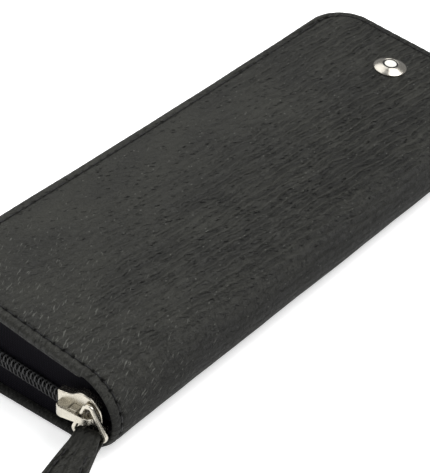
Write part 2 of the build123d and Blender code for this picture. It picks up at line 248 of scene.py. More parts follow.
@dataclass(frozen=True)
class LeatherFinish:
    """Soft pebbled calf: long low folds and rows of short pits along them, with painted shade and painted
    sheen streaks.

    The sheet's first coordinate runs across, from the lower zip edge round the spine to the
    upper one, and its second runs along the case. So folds and pits can gather where the
    leather is bent most, and fade where it is drawn tight. The spans given to the ramps are
    places on the sheet, in millimetres.
    """

    name: str = "black_calf_leather"
    dark: str = "191917"
    pale: str = "31312c"
    # pale colour of the painted sheen streaks and painted highlight flecks
    sheen_colour: str = "72736d"
    # colour of the painted shade in the pits, wrinkles, fold hollows and on the turned-under side
    pit: str = "040404"
    # colour of the painted shade in the needle holes and along the stitch line
    hole: str = "020202"
    grain_mm: float = 0.45
    grain_depth_mm: float = 0.14
    fold_mm: float = 2.1
    fold_run_mm: float = 11.0
    fold_turn: float = 4.0
    fold_depth_mm: float = 3.2
    row_mm: float = 2.5
    pit_mm: float = 0.72
    pit_run_mm: float = 2.5
    pit_turn: float = 25.0
    pit_depth_mm: float = 0.6
    pebble_mm: float = 1.1
    pebble_run_mm: float = 2.3
    pebble_turn: float = 22.0
    pebble_depth_mm: float = 0.8
    sheen_mark_depth_mm: float = 0.06
    hole_inset_mm: float = 2.7
    hole_pitch_mm: float = 3.2
    roughness: float = 0.5
    level: float = 0.2

    def build(self) -> bpy.types.Material:
        """Layers folds, pits, pebbles, grain and painted sheen streaks on a mottled colour, with painted
        shade in the fold hollows, pits and needle holes and on the turned-under side.
        """
        s = Shader(self.name)
        place = s.flat()
        across, along = s.parts(place)[:2]
        bent = self.bent(s, across, along)
        folds = self.folds(s, place)
        pits = s.times(self.pits(s, place, folds), s.plus(s.times(bent, 0.2), 0.8))
        pits = s.times(pits, s.ramp(along, -30.0, -78.0, 1.0, 0.3))
        pits = s.larger(pits, self.wrinkles(s, place, across))
        sheen_marks = self.sheen_marks(s, place, along)
        grain = s.noise(place, 1 / self.grain_mm, 2.0, 0.7)
        surface = s.bump(s.times(folds, bent), self.fold_depth_mm)
        surface = s.bump(pits, -self.pit_depth_mm, under=surface)
        surface = s.bump(self.pebbles(s, place), self.pebble_depth_mm, under=surface)
        surface = s.bump(grain, self.grain_depth_mm, under=surface)
        surface = s.bump(sheen_marks, self.sheen_mark_depth_mm, under=surface)
        mottle = s.noise(s.scaled(place, (1 / 12, 1 / 20, 1)), 1.0, 4.0)
        tone = s.plus(s.times(mottle, 0.4), s.times(grain, 0.6))
        colour = s.mix(s.ramp(tone, 0.34, 0.66), linear(self.dark), linear(self.pale))
        # painted shade: the fold hollows darkened towards the pit colour where the skin is bent
        hollows = s.times(s.ramp(folds, 0.52, 0.3, 0.0, 0.55), bent)
        colour = s.mix(hollows, colour, linear(self.pit))
        # painted shade: the lower cover and the lower side of the spine, turned away from the lamps,
        # darkened towards the pit colour
        underside_shade = s.ramp(across, 81.0, 74.0, 0.0, 0.6)
        colour = s.mix(underside_shade, colour, linear(self.pit))
        # painted shade in the pits and in the spine's wrinkles
        colour = s.mix(pits, colour, linear(self.pit))
        # painted sheen streaks and painted highlight flecks, in the pale colour
        colour = s.mix(s.times(sheen_marks, 0.45), colour, linear(self.sheen_colour))
        # painted shade in the needle holes and along the stitch line, strongest at the pull end
        holes = s.times(self.needle_hole_shade(s), s.ramp(along, -80.0, -55.0, 1.0, 0.45))
        colour = s.mix(holes, colour, linear(self.hole))
        rough = s.ramp(mottle, 0.3, 0.7, self.roughness - 0.04, self.roughness + 0.06)
        hidden = s.larger(underside_shade, s.larger(pits, holes))
        rough = s.plus(rough, s.times(hidden, 0.45))
        s.set(Base_Color=colour, Roughness=rough, Normal=surface, Specular_IOR_Level=self.level)
        return s.material

    @staticmethod
    def bent(s: Shader, across: bpy.types.NodeSocket, along: bpy.types.NodeSocket
             ) -> bpy.types.NodeSocket:
        """How much the skin is bent: most over the spine's shoulder and at the far end."""
        bent = s.larger(s.ramp(across, 134.0, 102.0, 0.1, 1.0), s.ramp(along, 10.0, 80.0, 0.1, 0.9))
        bent = s.times(bent, s.ramp(across, 73.0, 82.0, 0.25, 1.0))
        return s.times(bent, s.ramp(along, -75.0, 10.0, 0.4, 1.0))

    def folds(self, s: Shader, place: bpy.types.NodeSocket) -> bpy.types.NodeSocket:
        """Long wavy swellings in uneven rows that run with the length and fork now and then."""
        wander = s.warped(place, 1 / 9, 2.2)
        drawn = s.scaled(wander, (1 / self.fold_mm, 1 / self.fold_run_mm, 1), self.fold_turn)
        drawn = s.noise(drawn, 1.0, 1.5)
        turned_place = s.scaled(s.warped(wander, 1 / 4, 0.9), (1, 1, 1), self.fold_turn)
        rows = s.wave(turned_place, ONE_LINE / self.row_mm, "X")
        return s.plus(s.times(drawn, 0.66), s.times(rows, 0.34))

    def needle_hole_shade(self, s: Shader) -> bpy.types.NodeSocket:
        """Painted shade in the needle holes on the stitch line, joined by a painted shade line where the
        thread sinks.
        """
        away = s.math("SUBTRACT", s.value("inset"), self.hole_inset_mm)
        beside = s.times(s.math("PINGPONG", s.value("stitch"), 0.5), self.hole_pitch_mm)
        reach = s.math("SQRT", s.plus(s.times(away, away), s.times(beside, beside)))
        line = s.ramp(s.math("ABSOLUTE", away), 0.34, 0.12, 0.0, 0.6)
        return s.larger(s.ramp(reach, 0.66, 0.34), line)

    def pebbles(self, s: Shader, place: bpy.types.NodeSocket) -> bpy.types.NodeSocket:
        """Soft uneven lumps, a little longer than wide."""
        wander = s.warped(place, 0.6, 1.2)
        scale = (1 / self.pebble_mm, 1 / self.pebble_run_mm, 1)
        return s.noise(s.scaled(wander, scale, self.pebble_turn), 1.0, 2.0, 0.6)

    def pits(self, s: Shader, place: bpy.types.NodeSocket, folds: bpy.types.NodeSocket
             ) -> bpy.types.NodeSocket:
        """Short curved dimples, a few deep and more of them faint, mostly in the hollows."""
        wander = s.warped(place, 1.0, 1.1)
        cell = s.scaled(wander, (1 / self.pit_mm, 1 / self.pit_run_mm, 1), self.pit_turn)
        near = s.ramp(s.cells(cell), 0.36, 0.12)
        chosen = s.ramp(s.parts(s.cells(cell, "Color"))[0], 0.36, 0.92)
        hollow = s.ramp(folds, 0.66, 0.44, 0.5, 1.0)
        return s.times(s.times(near, chosen), hollow)

    @staticmethod
    def wrinkles(s: Shader, place: bpy.types.NodeSocket, across: bpy.types.NodeSocket
                 ) -> bpy.types.NodeSocket:
        """Fine wrinkles across the spine, where a drawn-out noise crosses its mean."""
        short = s.noise(s.scaled(s.warped(place, 0.5, 0.8), (0.33, 1.3, 1), 14), 1.0, 1.5)
        lines = s.ramp(s.math("ABSOLUTE", s.math("SUBTRACT", short, 0.5)), 0.03, 0.003)
        broken = s.ramp(s.noise(s.scaled(place, (0.5, 0.5, 1)), 1.0, 1.0), 0.42, 0.6)
        return s.times(s.times(lines, broken), s.ramp(across, 87.0, 78.0, 0.0, 0.5))

    @staticmethod
    def sheen_marks(s: Shader, place: bpy.types.NodeSocket, along: bpy.types.NodeSocket
              ) -> bpy.types.NodeSocket:
        """Painted sheen: fine pale streaks near the pull end, and painted highlights: tiny pale flecks
        everywhere.
        """
        streak = s.noise(s.scaled(s.warped(place, 0.5, 0.8), (2.7, 0.3, 1), -24), 1.0, 1.0)
        streak = s.ramp(s.plus(streak, s.ramp(along, -30.0, -82.0, -0.1, 0.035)), 0.65, 0.71)
        fleck_scale = (0.62, 0.5, 1)
        flecks = s.cells(s.scaled(place, fleck_scale))
        chosen = s.parts(s.cells(s.scaled(place, fleck_scale), "Color"))[1]
        flecks = s.times(s.ramp(flecks, 0.15, 0.08), s.ramp(chosen, 0.3, 0.55))
        hem = s.ramp(s.value("inset"), 2.2, 3.4, 0.3, 1.0)
        near_end = s.ramp(along, -45.0, -80.0, 1.0, 0.4)
        return s.times(s.larger(streak, s.times(flecks, near_end)), hem)


@dataclass(frozen=True)
class WovenFinish:
    """Plain woven ribbon of fine yarn."""

    name: str
    dark: str
    pale: str
    yarn_mm: float
    depth_mm: float = 0.12
    roughness: float = 0.75
    rib: float = 1.0
    level: float = 0.03

    def build(self) -> bpy.types.Material:
        """Crossed waves at the yarn's pitch, broken up by noise."""
        s = Shader(self.name)
        place = s.flat()
        uneven = {"Distortion": 0.35, "Detail": 1.0}
        along = s.wave(place, ONE_LINE / self.yarn_mm, "Y", **uneven)
        across = s.wave(place, ONE_LINE * self.rib / self.yarn_mm, "X", **uneven)
        weave = s.times(along, across)
        fuzz = s.noise(place, 2.4, 2.0)
        height = s.plus(weave, s.times(fuzz, 0.35))
        tone = s.ramp(s.plus(s.times(weave, 0.6), s.times(fuzz, 0.6)), 0.32, 0.72)
        s.set(Base_Color=s.mix(tone, linear(self.dark), linear(self.pale)),
              Roughness=self.roughness, Normal=s.bump(height, self.depth_mm, 0.9),
              Specular_IOR_Level=self.level)
        return s.material


@dataclass(frozen=True)
class LiningFinish:
    """Brushed microfibre."""

    name: str = "grey_microfibre"
    dark: str = "232326"
    pale: str = "34343a"
    sheen: str = "9a9aa4"

    def build(self) -> bpy.types.Material:
        """Short brushed nap with soft patches."""
        s = Shader(self.name)
        place = s.flat()
        patches = s.noise(s.scaled(place, (1 / 9, 1 / 14, 1)), 1.0, 3.0)
        nap = s.noise(s.scaled(place, (3.5, 1.6, 1)), 1.0, 2.0)
        tone = s.plus(s.times(patches, 0.7), s.times(nap, 0.3))
        s.set(Base_Color=s.mix(s.ramp(tone, 0.35, 0.65), linear(self.dark), linear(self.pale)),
              Roughness=0.85, Normal=s.bump(nap, 0.08, 0.6),
              Sheen_Weight=0.45, Sheen_Roughness=0.4, Sheen_Tint=linear(self.sheen))
        return s.material


@dataclass(frozen=True)
class HardFinish:
    """Metal, resin, nylon or board with a faint unevenness."""

    name: str
    colour: str
    second: str
    roughness: float
    metallic: float = 0.0
    lump_mm: float = 1.2
    depth_mm: float = 0.01
    coat: float = 0.0
    level: float = 0.5

    def build(self) -> bpy.types.Material:
        """Two close tones and a shallow bump from one soft noise, gloss broken up by a finer one."""
        s = Shader(self.name)
        lumps = s.noise(s.solid(), 1 / (self.lump_mm * MM), 3.0)
        fine = s.noise(s.solid(), 6 / (self.lump_mm * MM), 2.0)
        rough = s.ramp(fine, 0.3, 0.7, self.roughness * 0.8, self.roughness * 1.25)
        s.set(Base_Color=s.mix(s.ramp(lumps, 0.35, 0.65), linear(self.colour), linear(self.second)),
              Roughness=rough, Metallic=self.metallic, Coat_Weight=self.coat, Coat_Roughness=0.1,
              Specular_IOR_Level=self.level, Normal=s.bump(lumps, self.depth_mm, 0.5))
        return s.material


@dataclass(frozen=True)
class ThreadFinish:
    """Waxed twisted thread."""

    name: str = "waxed_polyester_thread"
    colour: str = "080808"
    second: str = "141416"
    strand_scale: float = 0.55

    def build(self) -> bpy.types.Material:
        """Slanted strands along the thread."""
        s = Shader(self.name)
        strands = s.wave(s.flat(), self.strand_scale, "DIAGONAL", Distortion=0.2)
        s.set(Base_Color=s.mix(strands, linear(self.colour), linear(self.second)),
              Roughness=0.5, Specular_IOR_Level=0.25, Normal=s.bump(strands, 0.06, 0.8))
        return s.material


class Materials:
    """The materials of the scene, each made once."""

    def __init__(self) -> None:
        """Builds every material, named for what it really is."""
        # soft calf leather: dull black, low folds and pits with painted shade, painted sheen streaks near
        # the pull end
        self.leather = LeatherFinish().build()
        # brushed microfibre: soft grey nap, lighter where it is seen edge on
        self.lining = LiningFinish().build()
        # woven polyester: nearly black and dull, with a fine weave
        self.tape = WovenFinish("woven_polyester_tape", "010102", "1b1920", 0.55).build()
        # covered rubber yarn: dark grey with wide ribs
        self.elastic = WovenFinish("ribbed_elastic", "121214", "2a2a2e", 0.7, 0.2, 0.8, 0.5).build()
        # nylon monofilament: black, a small soft glint on each loop
        self.coil = HardFinish("nylon_coil", "09090a", "121214", 0.36, lump_mm=0.8, level=0.3).build()
        # nickel plate on the zip's castings: warm, pale, softly blurred reflections
        self.nickel = HardFinish("polished_nickel", "c2bdb0", "b3aea2", 0.24, 1.0, 2.5, 0.004).build()
        # nickel plate on the stud: the same nickel painted a shade darker, a painted shade that tones down
        # the lamps' reflections on its cone
        self.stud_nickel = HardFinish("nickel_darkened_for_shade", "a5a198", "99958d", 0.22, 1.0, 2.5, 0.004).build()
        # black resin round the inlay: glossy
        self.resin = HardFinish("black_resin", "0c0c0d", "121214", 0.2, coat=0.4).build()
        # pale resin disc: glossy off-white
        self.ivory = HardFinish("pale_resin", "e4e2da", "d8d6ce", 0.25, coat=0.3).build()
        # pressed fibre board: dull and brownish, hidden in the covers
        self.board = HardFinish("fibre_board", "4a463f", "3b3833", 0.8, lump_mm=2.0, depth_mm=0.05).build()
        # waxed polyester thread: black, with slanted strands
        self.thread = ThreadFinish().build()
        # matt paper: even and nearly white
        self.floor = HardFinish("matt_paper", "f2f2f2", "efefef", 0.9, lump_mm=40, depth_mm=0.0).build()


# --- mesh helpers ---


Faces = Sequence[np.ndarray]


def grid_faces(index: np.ndarray, wrap: bool = False) -> np.ndarray:
    """Quads between neighbouring entries of a grid of point numbers.

    Args:
        index: Point numbers, rows by columns.
        wrap: Whether the last column joins the first.

    Returns:
        One row of four point numbers for each quad.
    """
    if wrap:
        index = np.hstack([index, index[:, :1]])
    a, b, c, d = index[:-1, :-1], index[:-1, 1:], index[1:, 1:], index[1:, :-1]
    return np.stack([a, b, c, d], axis=-1).reshape(-1, 4)


def signed_volume(points: np.ndarray, faces: Faces) -> float:
    """Volume inside a closed mesh, negative if its faces point inwards."""
    total = 0.0
    for group in faces:
        for k in range(1, group.shape[1] - 1):
            a, b, c = points[group[:, 0]], points[group[:, k]], points[group[:, k + 1]]
            total += float(np.einsum("ij,ij->i", a, np.cross(b, c)).sum()) / 6
    return total


def make_piece(name: str, points: np.ndarray, faces: Faces, flat: Optional[np.ndarray] = None,
               sharp_deg: float = 180.0, **values: np.ndarray) -> bpy.types.Object:
    """Makes a smooth closed mesh from points in millimetres, facing outwards.

    Args:
        name: Name of the object and the mesh.
        points: Places of the points.
        faces: Groups of faces with equal numbers of corners.
        flat: Place of each point on the cut-out sheet, in millimetres.
        sharp_deg: Edges that turn more than this are drawn crisp.
        **values: Numbers to store on the points.

    Returns:
        The linked object, at the origin.
    """
    faces = [np.asarray(group, dtype=np.int32) for group in faces if len(group)]
    if signed_volume(points, faces) < 0:
        faces = [group[:, ::-1] for group in faces]
    corners = np.concatenate([group.ravel() for group in faces])
    sizes = np.concatenate([np.full(len(group), group.shape[1]) for group in faces])
    starts = np.concatenate([[0], np.cumsum(sizes)[:-1]]).astype(np.int32)
    mesh = bpy.data.meshes.new(name)
    mesh.vertices.add(len(points))
    mesh.vertices.foreach_set("co", (points * MM).astype(np.float32).ravel())
    mesh.loops.add(len(corners))
    mesh.loops.foreach_set("vertex_index", corners.astype(np.int32))
    mesh.polygons.add(len(sizes))
    mesh.polygons.foreach_set("loop_start", starts)
    mesh.polygons.foreach_set("use_smooth", np.ones(len(sizes), dtype=bool))
    mesh.update(calc_edges=True)
    if flat is not None:
        stored = mesh.attributes.new("flat_mm", "FLOAT_VECTOR", "POINT")
        stored.data.foreach_set("vector", flat.astype(np.float32).ravel())
    for key, numbers in values.items():
        stored = mesh.attributes.new(key, "FLOAT", "POINT")
        stored.data.foreach_set("value", numbers.astype(np.float32))
    if sharp_deg < 180:
        mesh.set_sharp_from_angle(angle=math.radians(sharp_deg))
    mesh.validate()
    made = bpy.data.objects.new(name, mesh)
    bpy.context.scene.collection.objects.link(made)
    log.info("%s: %d points, %d faces", name, len(points), len(sizes))
    return made


def dress(piece: bpy.types.Object, material: bpy.types.Material,
          body: Optional[Body] = None, instead_of: Iterable[str] = ()) -> bpy.types.Object:
    """Gives a piece its material, its body and the CAD nodes it stands for.

    Args:
        piece: Object to dress.
        material: Its finish.
        body: Body that the piece rides on, if it rides.
        instead_of: CAD nodes that are then hidden.

    Returns:
        The same object.
    """
    piece.data.materials.clear()
    piece.data.materials.append(material)
    if body is not None:
        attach(piece, body.value)
    names = list(instead_of)
    if names:
        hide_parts(*names)
    return piece


def ease(x: np.ndarray) -> np.ndarray:
    """Smooth step from 0 to 1."""
    x = np.clip(x, 0, 1)
    return x * x * (3 - 2 * x)


def bell(x: np.ndarray, width: float) -> np.ndarray:
    """Smooth hump, 1 at 0 and nearly 0 from twice the width on."""
    return np.exp(-((x / width) ** 2))


def fuller(wave: np.ndarray, power: float) -> np.ndarray:
    """A wave between -1 and 1 with its crests flattened by a power below 1."""
    return np.sign(wave) * np.abs(wave) ** power


def even(thickness: float) -> Callable[[np.ndarray], np.ndarray]:
    """Thickness of a sheet that is the same all over."""
    return lambda s: np.full(s.shape, thickness)


def unit(v: np.ndarray) -> np.ndarray:
    """Vectors scaled to length 1."""
    return v / np.linalg.norm(v, axis=-1, keepdims=True)


def transform(points: np.ndarray, matrix: Matrix) -> np.ndarray:
    """Points moved by a four by four matrix."""
    m = np.array(matrix)
    return points @ m[:3, :3].T + m[:3, 3]


def turned(axis: str, degrees: float) -> Matrix:
    """Turn about one axis."""
    return Matrix.Rotation(math.radians(degrees), 4, axis)


def moved(x: float, y: float, z: float) -> Matrix:
    """Shift, in the unit of the points."""
    return Matrix.Translation((x, y, z))


def ripple(a: np.ndarray, b: np.ndarray, seed: int, wave: float, count: int = 7) -> np.ndarray:
    """Gentle unevenness: the mean of plane waves of random heading, about one wave long."""
    random = np.random.default_rng(seed)
    total = np.zeros(np.broadcast(a, b).shape)
    for heading, length, phase in zip(random.uniform(0, math.pi, count),
                                      random.uniform(0.6, 1.6, count) * wave,
                                      random.uniform(0, 2 * math.pi, count)):
        total += np.sin(2 * math.pi * (a * math.cos(heading) + b * math.sin(heading)) / length + phase)
    return total / count


# --- the case's common form ---


@dataclass(frozen=True)
class CaseForm:
    """Sizes that the pieces share, in millimetres, and the maps between flat and folded.

    The reach is a cover's width from its zip edge to the spine's bend, and the spine's axis lies
    at spine_x, one radius above the floor. The wedge is the angle between the covers. The hem is
    the doubled leather's thickness, and the seam drops below the middle plane of the zip.
    """

    length: float = 175.0
    reach: float = 54.2
    spine_x: float = 20.2
    radius: float = 11.8
    wedge_deg: float = 7.5
    corner: float = 12.5
    hem: float = 2.6
    hem_width: float = 6.0
    spine_leather: float = 1.3
    seam_drop: float = 1.3

    @property
    def half(self) -> float:
        """Half the case's length."""
        return self.length / 2

    @property
    def edge_x(self) -> float:
        """Place of the long zip edge."""
        return self.spine_x - self.reach

    @property
    def arc(self) -> float:
        """Length of the leather round the spine."""
        return self.radius * math.radians(180 - self.wedge_deg)

    @property
    def girth(self) -> float:
        """Width of the whole wrap laid flat."""
        return 2 * self.reach + self.arc

    def fold(self, s: np.ndarray, y: np.ndarray, out: np.ndarray) -> np.ndarray:
        """Places a point of the flat wrap on the folded case.

        The wrap runs straight under the case, turns about the spine's axis, and runs straight
        back over the top. A point lies on that line, shifted along its outward normal.

        Args:
            s: Distance from the lower zip edge round the outside.
            y: Place along the case.
            out: Height above the outer face; below it is negative.

        Returns:
            Points, one row each.
        """
        turn = np.clip((s - self.reach) / self.radius, 0, self.arc / self.radius) - math.pi / 2
        before = np.minimum(s - self.reach, 0)
        after = np.maximum(s - self.reach - self.arc, 0)
        end = math.pi / 2 - math.radians(self.wedge_deg)
        x = self.spine_x + (self.radius + out) * np.cos(turn) + before - after * math.sin(end)
        z = self.radius + (self.radius + out) * np.sin(turn) + after * math.cos(end)
        return np.stack([x, y, z], axis=-1)

    def mirrored(self, points: np.ndarray) -> np.ndarray:
        """The lower cover's points carried over to the upper cover."""
        tilt = math.radians(self.wedge_deg / 2)
        normal = np.array([math.sin(tilt), 0, math.cos(tilt)])
        away = (points - np.array([self.spine_x, 0, self.radius])) @ normal
        return points - 2 * away[..., None] * normal

    def seam_height(self, x: np.ndarray) -> np.ndarray:
        """Height of the plane midway between the covers."""
        return self.radius + (self.spine_x - x) * math.tan(math.radians(self.wedge_deg / 2))

    def zip_line(self, inset: float, near_x: float, far_x: float,
                 step: float) -> tuple[np.ndarray, np.ndarray, np.ndarray]:
        """Walks round the three zip sides at an inset, in plan.

        Args:
            inset: Distance inside the covers' edge.
            near_x: Where the walk starts, on the near end.
            far_x: Where it stops, on the far end.
            step: Distance between two places.

        Returns:
            Places, outward directions, and distances walked.
        """
        core_x, core_y, r = self.edge_x + self.corner, self.half - self.corner, self.corner - inset
        legs = np.array([near_x - core_x, r * math.pi / 2, 2 * core_y, r * math.pi / 2, far_x - core_x])
        marks = np.concatenate([[0], np.cumsum(legs)])
        walk = np.linspace(0, marks[-1], max(int(round(marks[-1] / step)), 1) + 1)
        done = [np.clip(walk - marks[i], 0, legs[i]) for i in range(5)]
        heading = -math.pi / 2 - (done[1] + done[3]) / r
        outward = np.stack([np.cos(heading), np.sin(heading)], axis=-1)
        core = np.stack([near_x - done[0] + done[4], -core_y + done[2]], axis=-1)
        return core + r * outward, outward, walk


FORM = CaseForm()


# --- rounded sheets of soft material ---


@dataclass(frozen=True)
class Layout:
    """Points of a closed rounded sheet laid flat, with their inset, walk and depth."""

    s: np.ndarray
    y: np.ndarray
    inset: np.ndarray
    walk: np.ndarray
    depth: np.ndarray
    faces: list


@dataclass(frozen=True)
class RoundedSheet:
    """Rounded rectangle with rows that follow its edge, and a plain grid inside them.

    The rows start on the upper face, go round the edge and end on the lower face. Where they
    meet the inner grid, two columns join into one. Upper and lower rows are insets from the
    edge, and the inner gap lies between the last row and the grid.
    """

    width: float
    length: float
    corner: float
    step: float
    thickness: Callable[[np.ndarray], np.ndarray]
    edge_round: float
    upper_rows: Sequence[float]
    lower_rows: Sequence[float]
    inner_gap: float = 1.2

    def columns(self) -> tuple[np.ndarray, np.ndarray, int, int]:
        """Core points and outward directions of the columns, starting midway round a corner."""
        quarter = math.pi / 4 * self.corner
        straight_s, straight_y = self.width - 2 * self.corner, self.length - 2 * self.corner
        counts = [2 * max(int(round((span + 2 * quarter) / (2 * self.step))), 2)
                  for span in (straight_s, straight_y)]
        corners = np.array([[self.corner, self.corner - self.length / 2],
                            [self.width - self.corner, self.corner - self.length / 2],
                            [self.width - self.corner, self.length / 2 - self.corner],
                            [self.corner, self.length / 2 - self.corner]])
        core, outward = [], []
        for side in range(4):
            span = (straight_s, straight_y)[side % 2]
            walk = np.linspace(0, span + 2 * quarter, counts[side % 2] + 1)[:-1]
            turn = -0.75 * math.pi + side * math.pi / 2
            turn = turn + np.minimum(walk, quarter) / self.corner
            turn = turn + np.maximum(walk - quarter - span, 0) / self.corner
            along = np.clip(walk - quarter, 0, span)[:, None]
            heading = unit(corners[(side + 1) % 4] - corners[side])
            core.append(corners[side] + along * heading)
            outward.append(np.stack([np.cos(turn), np.sin(turn)], axis=-1))
        return np.vstack(core), np.vstack(outward), counts[0], counts[1]

    def seam(self, inset: float) -> tuple[np.ndarray, np.ndarray]:
        """Closed line at an inset, laid flat, and the distance walked along it."""
        core, outward, _, _ = self.columns()
        line = core + (self.corner - inset) * outward
        line = np.vstack([line, line[:1]])
        walk = np.concatenate([[0], np.cumsum(np.linalg.norm(np.diff(line, axis=0), axis=1))])
        return line, walk

    def stitches(self, inset: float, pitch: float) -> tuple[np.ndarray, np.ndarray]:
        """Middles of the stitches of a seam, laid flat, and places a little further on."""
        line, walk = self.seam(inset)
        total = walk[-1]
        count = round(total / pitch)
        middles = (np.arange(count) + 0.5) * total / count
        here, ahead = (np.column_stack([np.interp(at, walk, line[:, k]) for k in (0, 1)])
                       for at in (middles, (middles + 0.4) % total))
        return here, ahead

    def rows(self, thick: np.ndarray) -> tuple[np.ndarray, np.ndarray]:
        """Inset and depth of each row, from the upper face round the edge to the lower one."""
        r = np.minimum(self.edge_round, thick / 2)
        angles = np.linspace(0, math.pi / 2, 5)
        rows = [(np.full(len(thick), inset), np.zeros(len(thick))) for inset in self.upper_rows]
        rows += [(r * (1 - math.sin(a)), r * (1 - math.cos(a))) for a in angles]
        rows += [(r * (1 - math.cos(a)), thick - r * (1 - math.sin(a))) for a in angles]
        rows += [(np.full(len(thick), inset), thick) for inset in self.lower_rows]
        insets, depths = zip(*rows)
        return np.array(insets), np.array(depths)

    def layout(self, walk_inset: float) -> Layout:
        """Lays the sheet out flat.

        Args:
            walk_inset: Inset of the line whose length each point's walk counts.

        Returns:
            The flat points and the faces between them.
        """
        core, outward, n_s, n_y = self.columns()
        inset, depth = self.rows(self.thickness((core + self.corner * outward)[:, 0]))
        walk = self.seam(walk_inset)[1][:-1]
        place = core[None] + (self.corner - inset)[..., None] * outward[None]
        index = np.arange(inset.size).reshape(inset.shape)
        parts = [(place.reshape(-1, 2), inset.ravel(), np.tile(walk, len(inset)), depth.ravel())]
        faces = [grid_faces(index, wrap=True)]
        used = inset.size
        for row, is_lower in ((0, False), (len(inset) - 1, True)):
            inner = float(inset[row, 0]) + self.inner_gap
            loop = (core + (self.corner - inner) * outward)[::2]
            patch, patch_index = self.patch(loop, n_s // 2, n_y // 2, used)
            ring = self.ring_of(patch_index)
            pairs = index[row].reshape(-1, 2)
            joint = np.stack([pairs[:, 0], pairs[:, 1], np.roll(pairs[:, 0], -1),
                              np.roll(ring, -1), ring], axis=-1)
            middle = grid_faces(patch_index)
            faces += [joint, middle[:, ::-1]] if is_lower else [joint[:, ::-1], middle]
            parts.append((patch, self.edge_distance(patch), np.zeros(len(patch)),
                          self.thickness(patch[:, 0]) * is_lower))
            used += len(patch)
        s_y, insets, walks, depths = (np.concatenate(group) for group in zip(*parts))
        return Layout(s_y[:, 0], s_y[:, 1], insets, walks, depths, faces)

    @staticmethod
    def patch(loop: np.ndarray, n_s: int, n_y: int, start: int) -> tuple[np.ndarray, np.ndarray]:
        """Fills a closed loop with a grid, each point the blend of the four sides it faces."""
        sides = [loop[:n_s + 1], loop[n_s:n_s + n_y + 1],
                 loop[n_s + n_y:2 * n_s + n_y + 1][::-1],
                 np.vstack([loop[2 * n_s + n_y:], loop[:1]])[::-1]]
        low, right, high, left = sides
        u = np.linspace(0, 1, n_s + 1)[:, None, None]
        v = np.linspace(0, 1, n_y + 1)[None, :, None]
        surface = (1 - v) * low[:, None] + v * high[:, None] + (1 - u) * left[None] + u * right[None]
        surface = surface - ((1 - u) * (1 - v) * low[0] + u * (1 - v) * low[-1]
                             + (1 - u) * v * high[0] + u * v * high[-1])
        index = start + np.arange((n_s + 1) * (n_y + 1)).reshape(n_s + 1, n_y + 1)
        return surface.reshape(-1, 2), index

    @staticmethod
    def ring_of(index: np.ndarray) -> np.ndarray:
        """The grid's border, in the order of the columns."""
        return np.concatenate([index[:-1, 0], index[-1, :-1], index[:0:-1, -1], index[0, :0:-1]])

    def edge_distance(self, place: np.ndarray) -> np.ndarray:
        """Distance from each place to the sheet's edge."""
        low = np.minimum(place[:, 0], self.width - place[:, 0])
        side = self.length / 2 - np.abs(place[:, 1])
        in_corner = (low < self.corner) & (side < self.corner)
        round_part = self.corner - np.hypot(self.corner - low, self.corner - side)
        return np.where(in_corner, round_part, np.minimum(low, side))


def capsules(centres: np.ndarray, along: np.ndarray, up: np.ndarray, length: float, width: float,
             height: float, sink: float = 0.5) -> tuple[np.ndarray, list, np.ndarray]:
    """Makes one rounded bar for each stitch.

    Args:
        centres: Middle of each bar's foot.
        along: Direction of each bar.
        up: Direction away from the material.
        length: Length of a bar.
        width: Width of a bar.
        height: Height of a bar.
        sink: Share of the height that lies in the material.

    Returns:
        Points, faces and flat places.
    """
    rings, sides = 9, 8
    t = np.linspace(-1, 1, rings)
    swell = np.sqrt(np.clip(1 - (np.abs(t) ** 3.2), 0.03, 1))
    angle = np.linspace(0, 2 * math.pi, sides, endpoint=False)
    across = unit(np.cross(up, along))
    lift = height * (0.5 - sink)
    bow = 0.22 * height * (1 - t ** 2)
    offset_a = t * length / 2
    offset_b = swell[:, None] * np.cos(angle) * width / 2
    offset_c = swell[:, None] * np.sin(angle) * height / 2 + lift + bow[:, None]
    points = (centres[:, None, None] + offset_a[None, :, None, None] * along[:, None, None]
              + offset_b[None, ..., None] * across[:, None, None]
              + offset_c[None, ..., None] * up[:, None, None])
    index = np.arange(len(centres) * rings * sides).reshape(len(centres), rings, sides)
    closed = np.concatenate([index, index[..., :1]], axis=-1)
    a, b = closed[:, :-1, :-1], closed[:, :-1, 1:]
    c, d = closed[:, 1:, 1:], closed[:, 1:, :-1]
    quads = np.stack([a, b, c, d], axis=-1).reshape(-1, 4)
    flat = np.zeros(points.shape)
    flat[..., 0] = offset_b[None]
    flat[..., 1] = offset_a[None, :, None] + 10 * np.arange(len(centres))[:, None, None]
    return (points.reshape(-1, 3), [quads, index[:, 0, ::-1], index[:, -1]], flat.reshape(-1, 3))


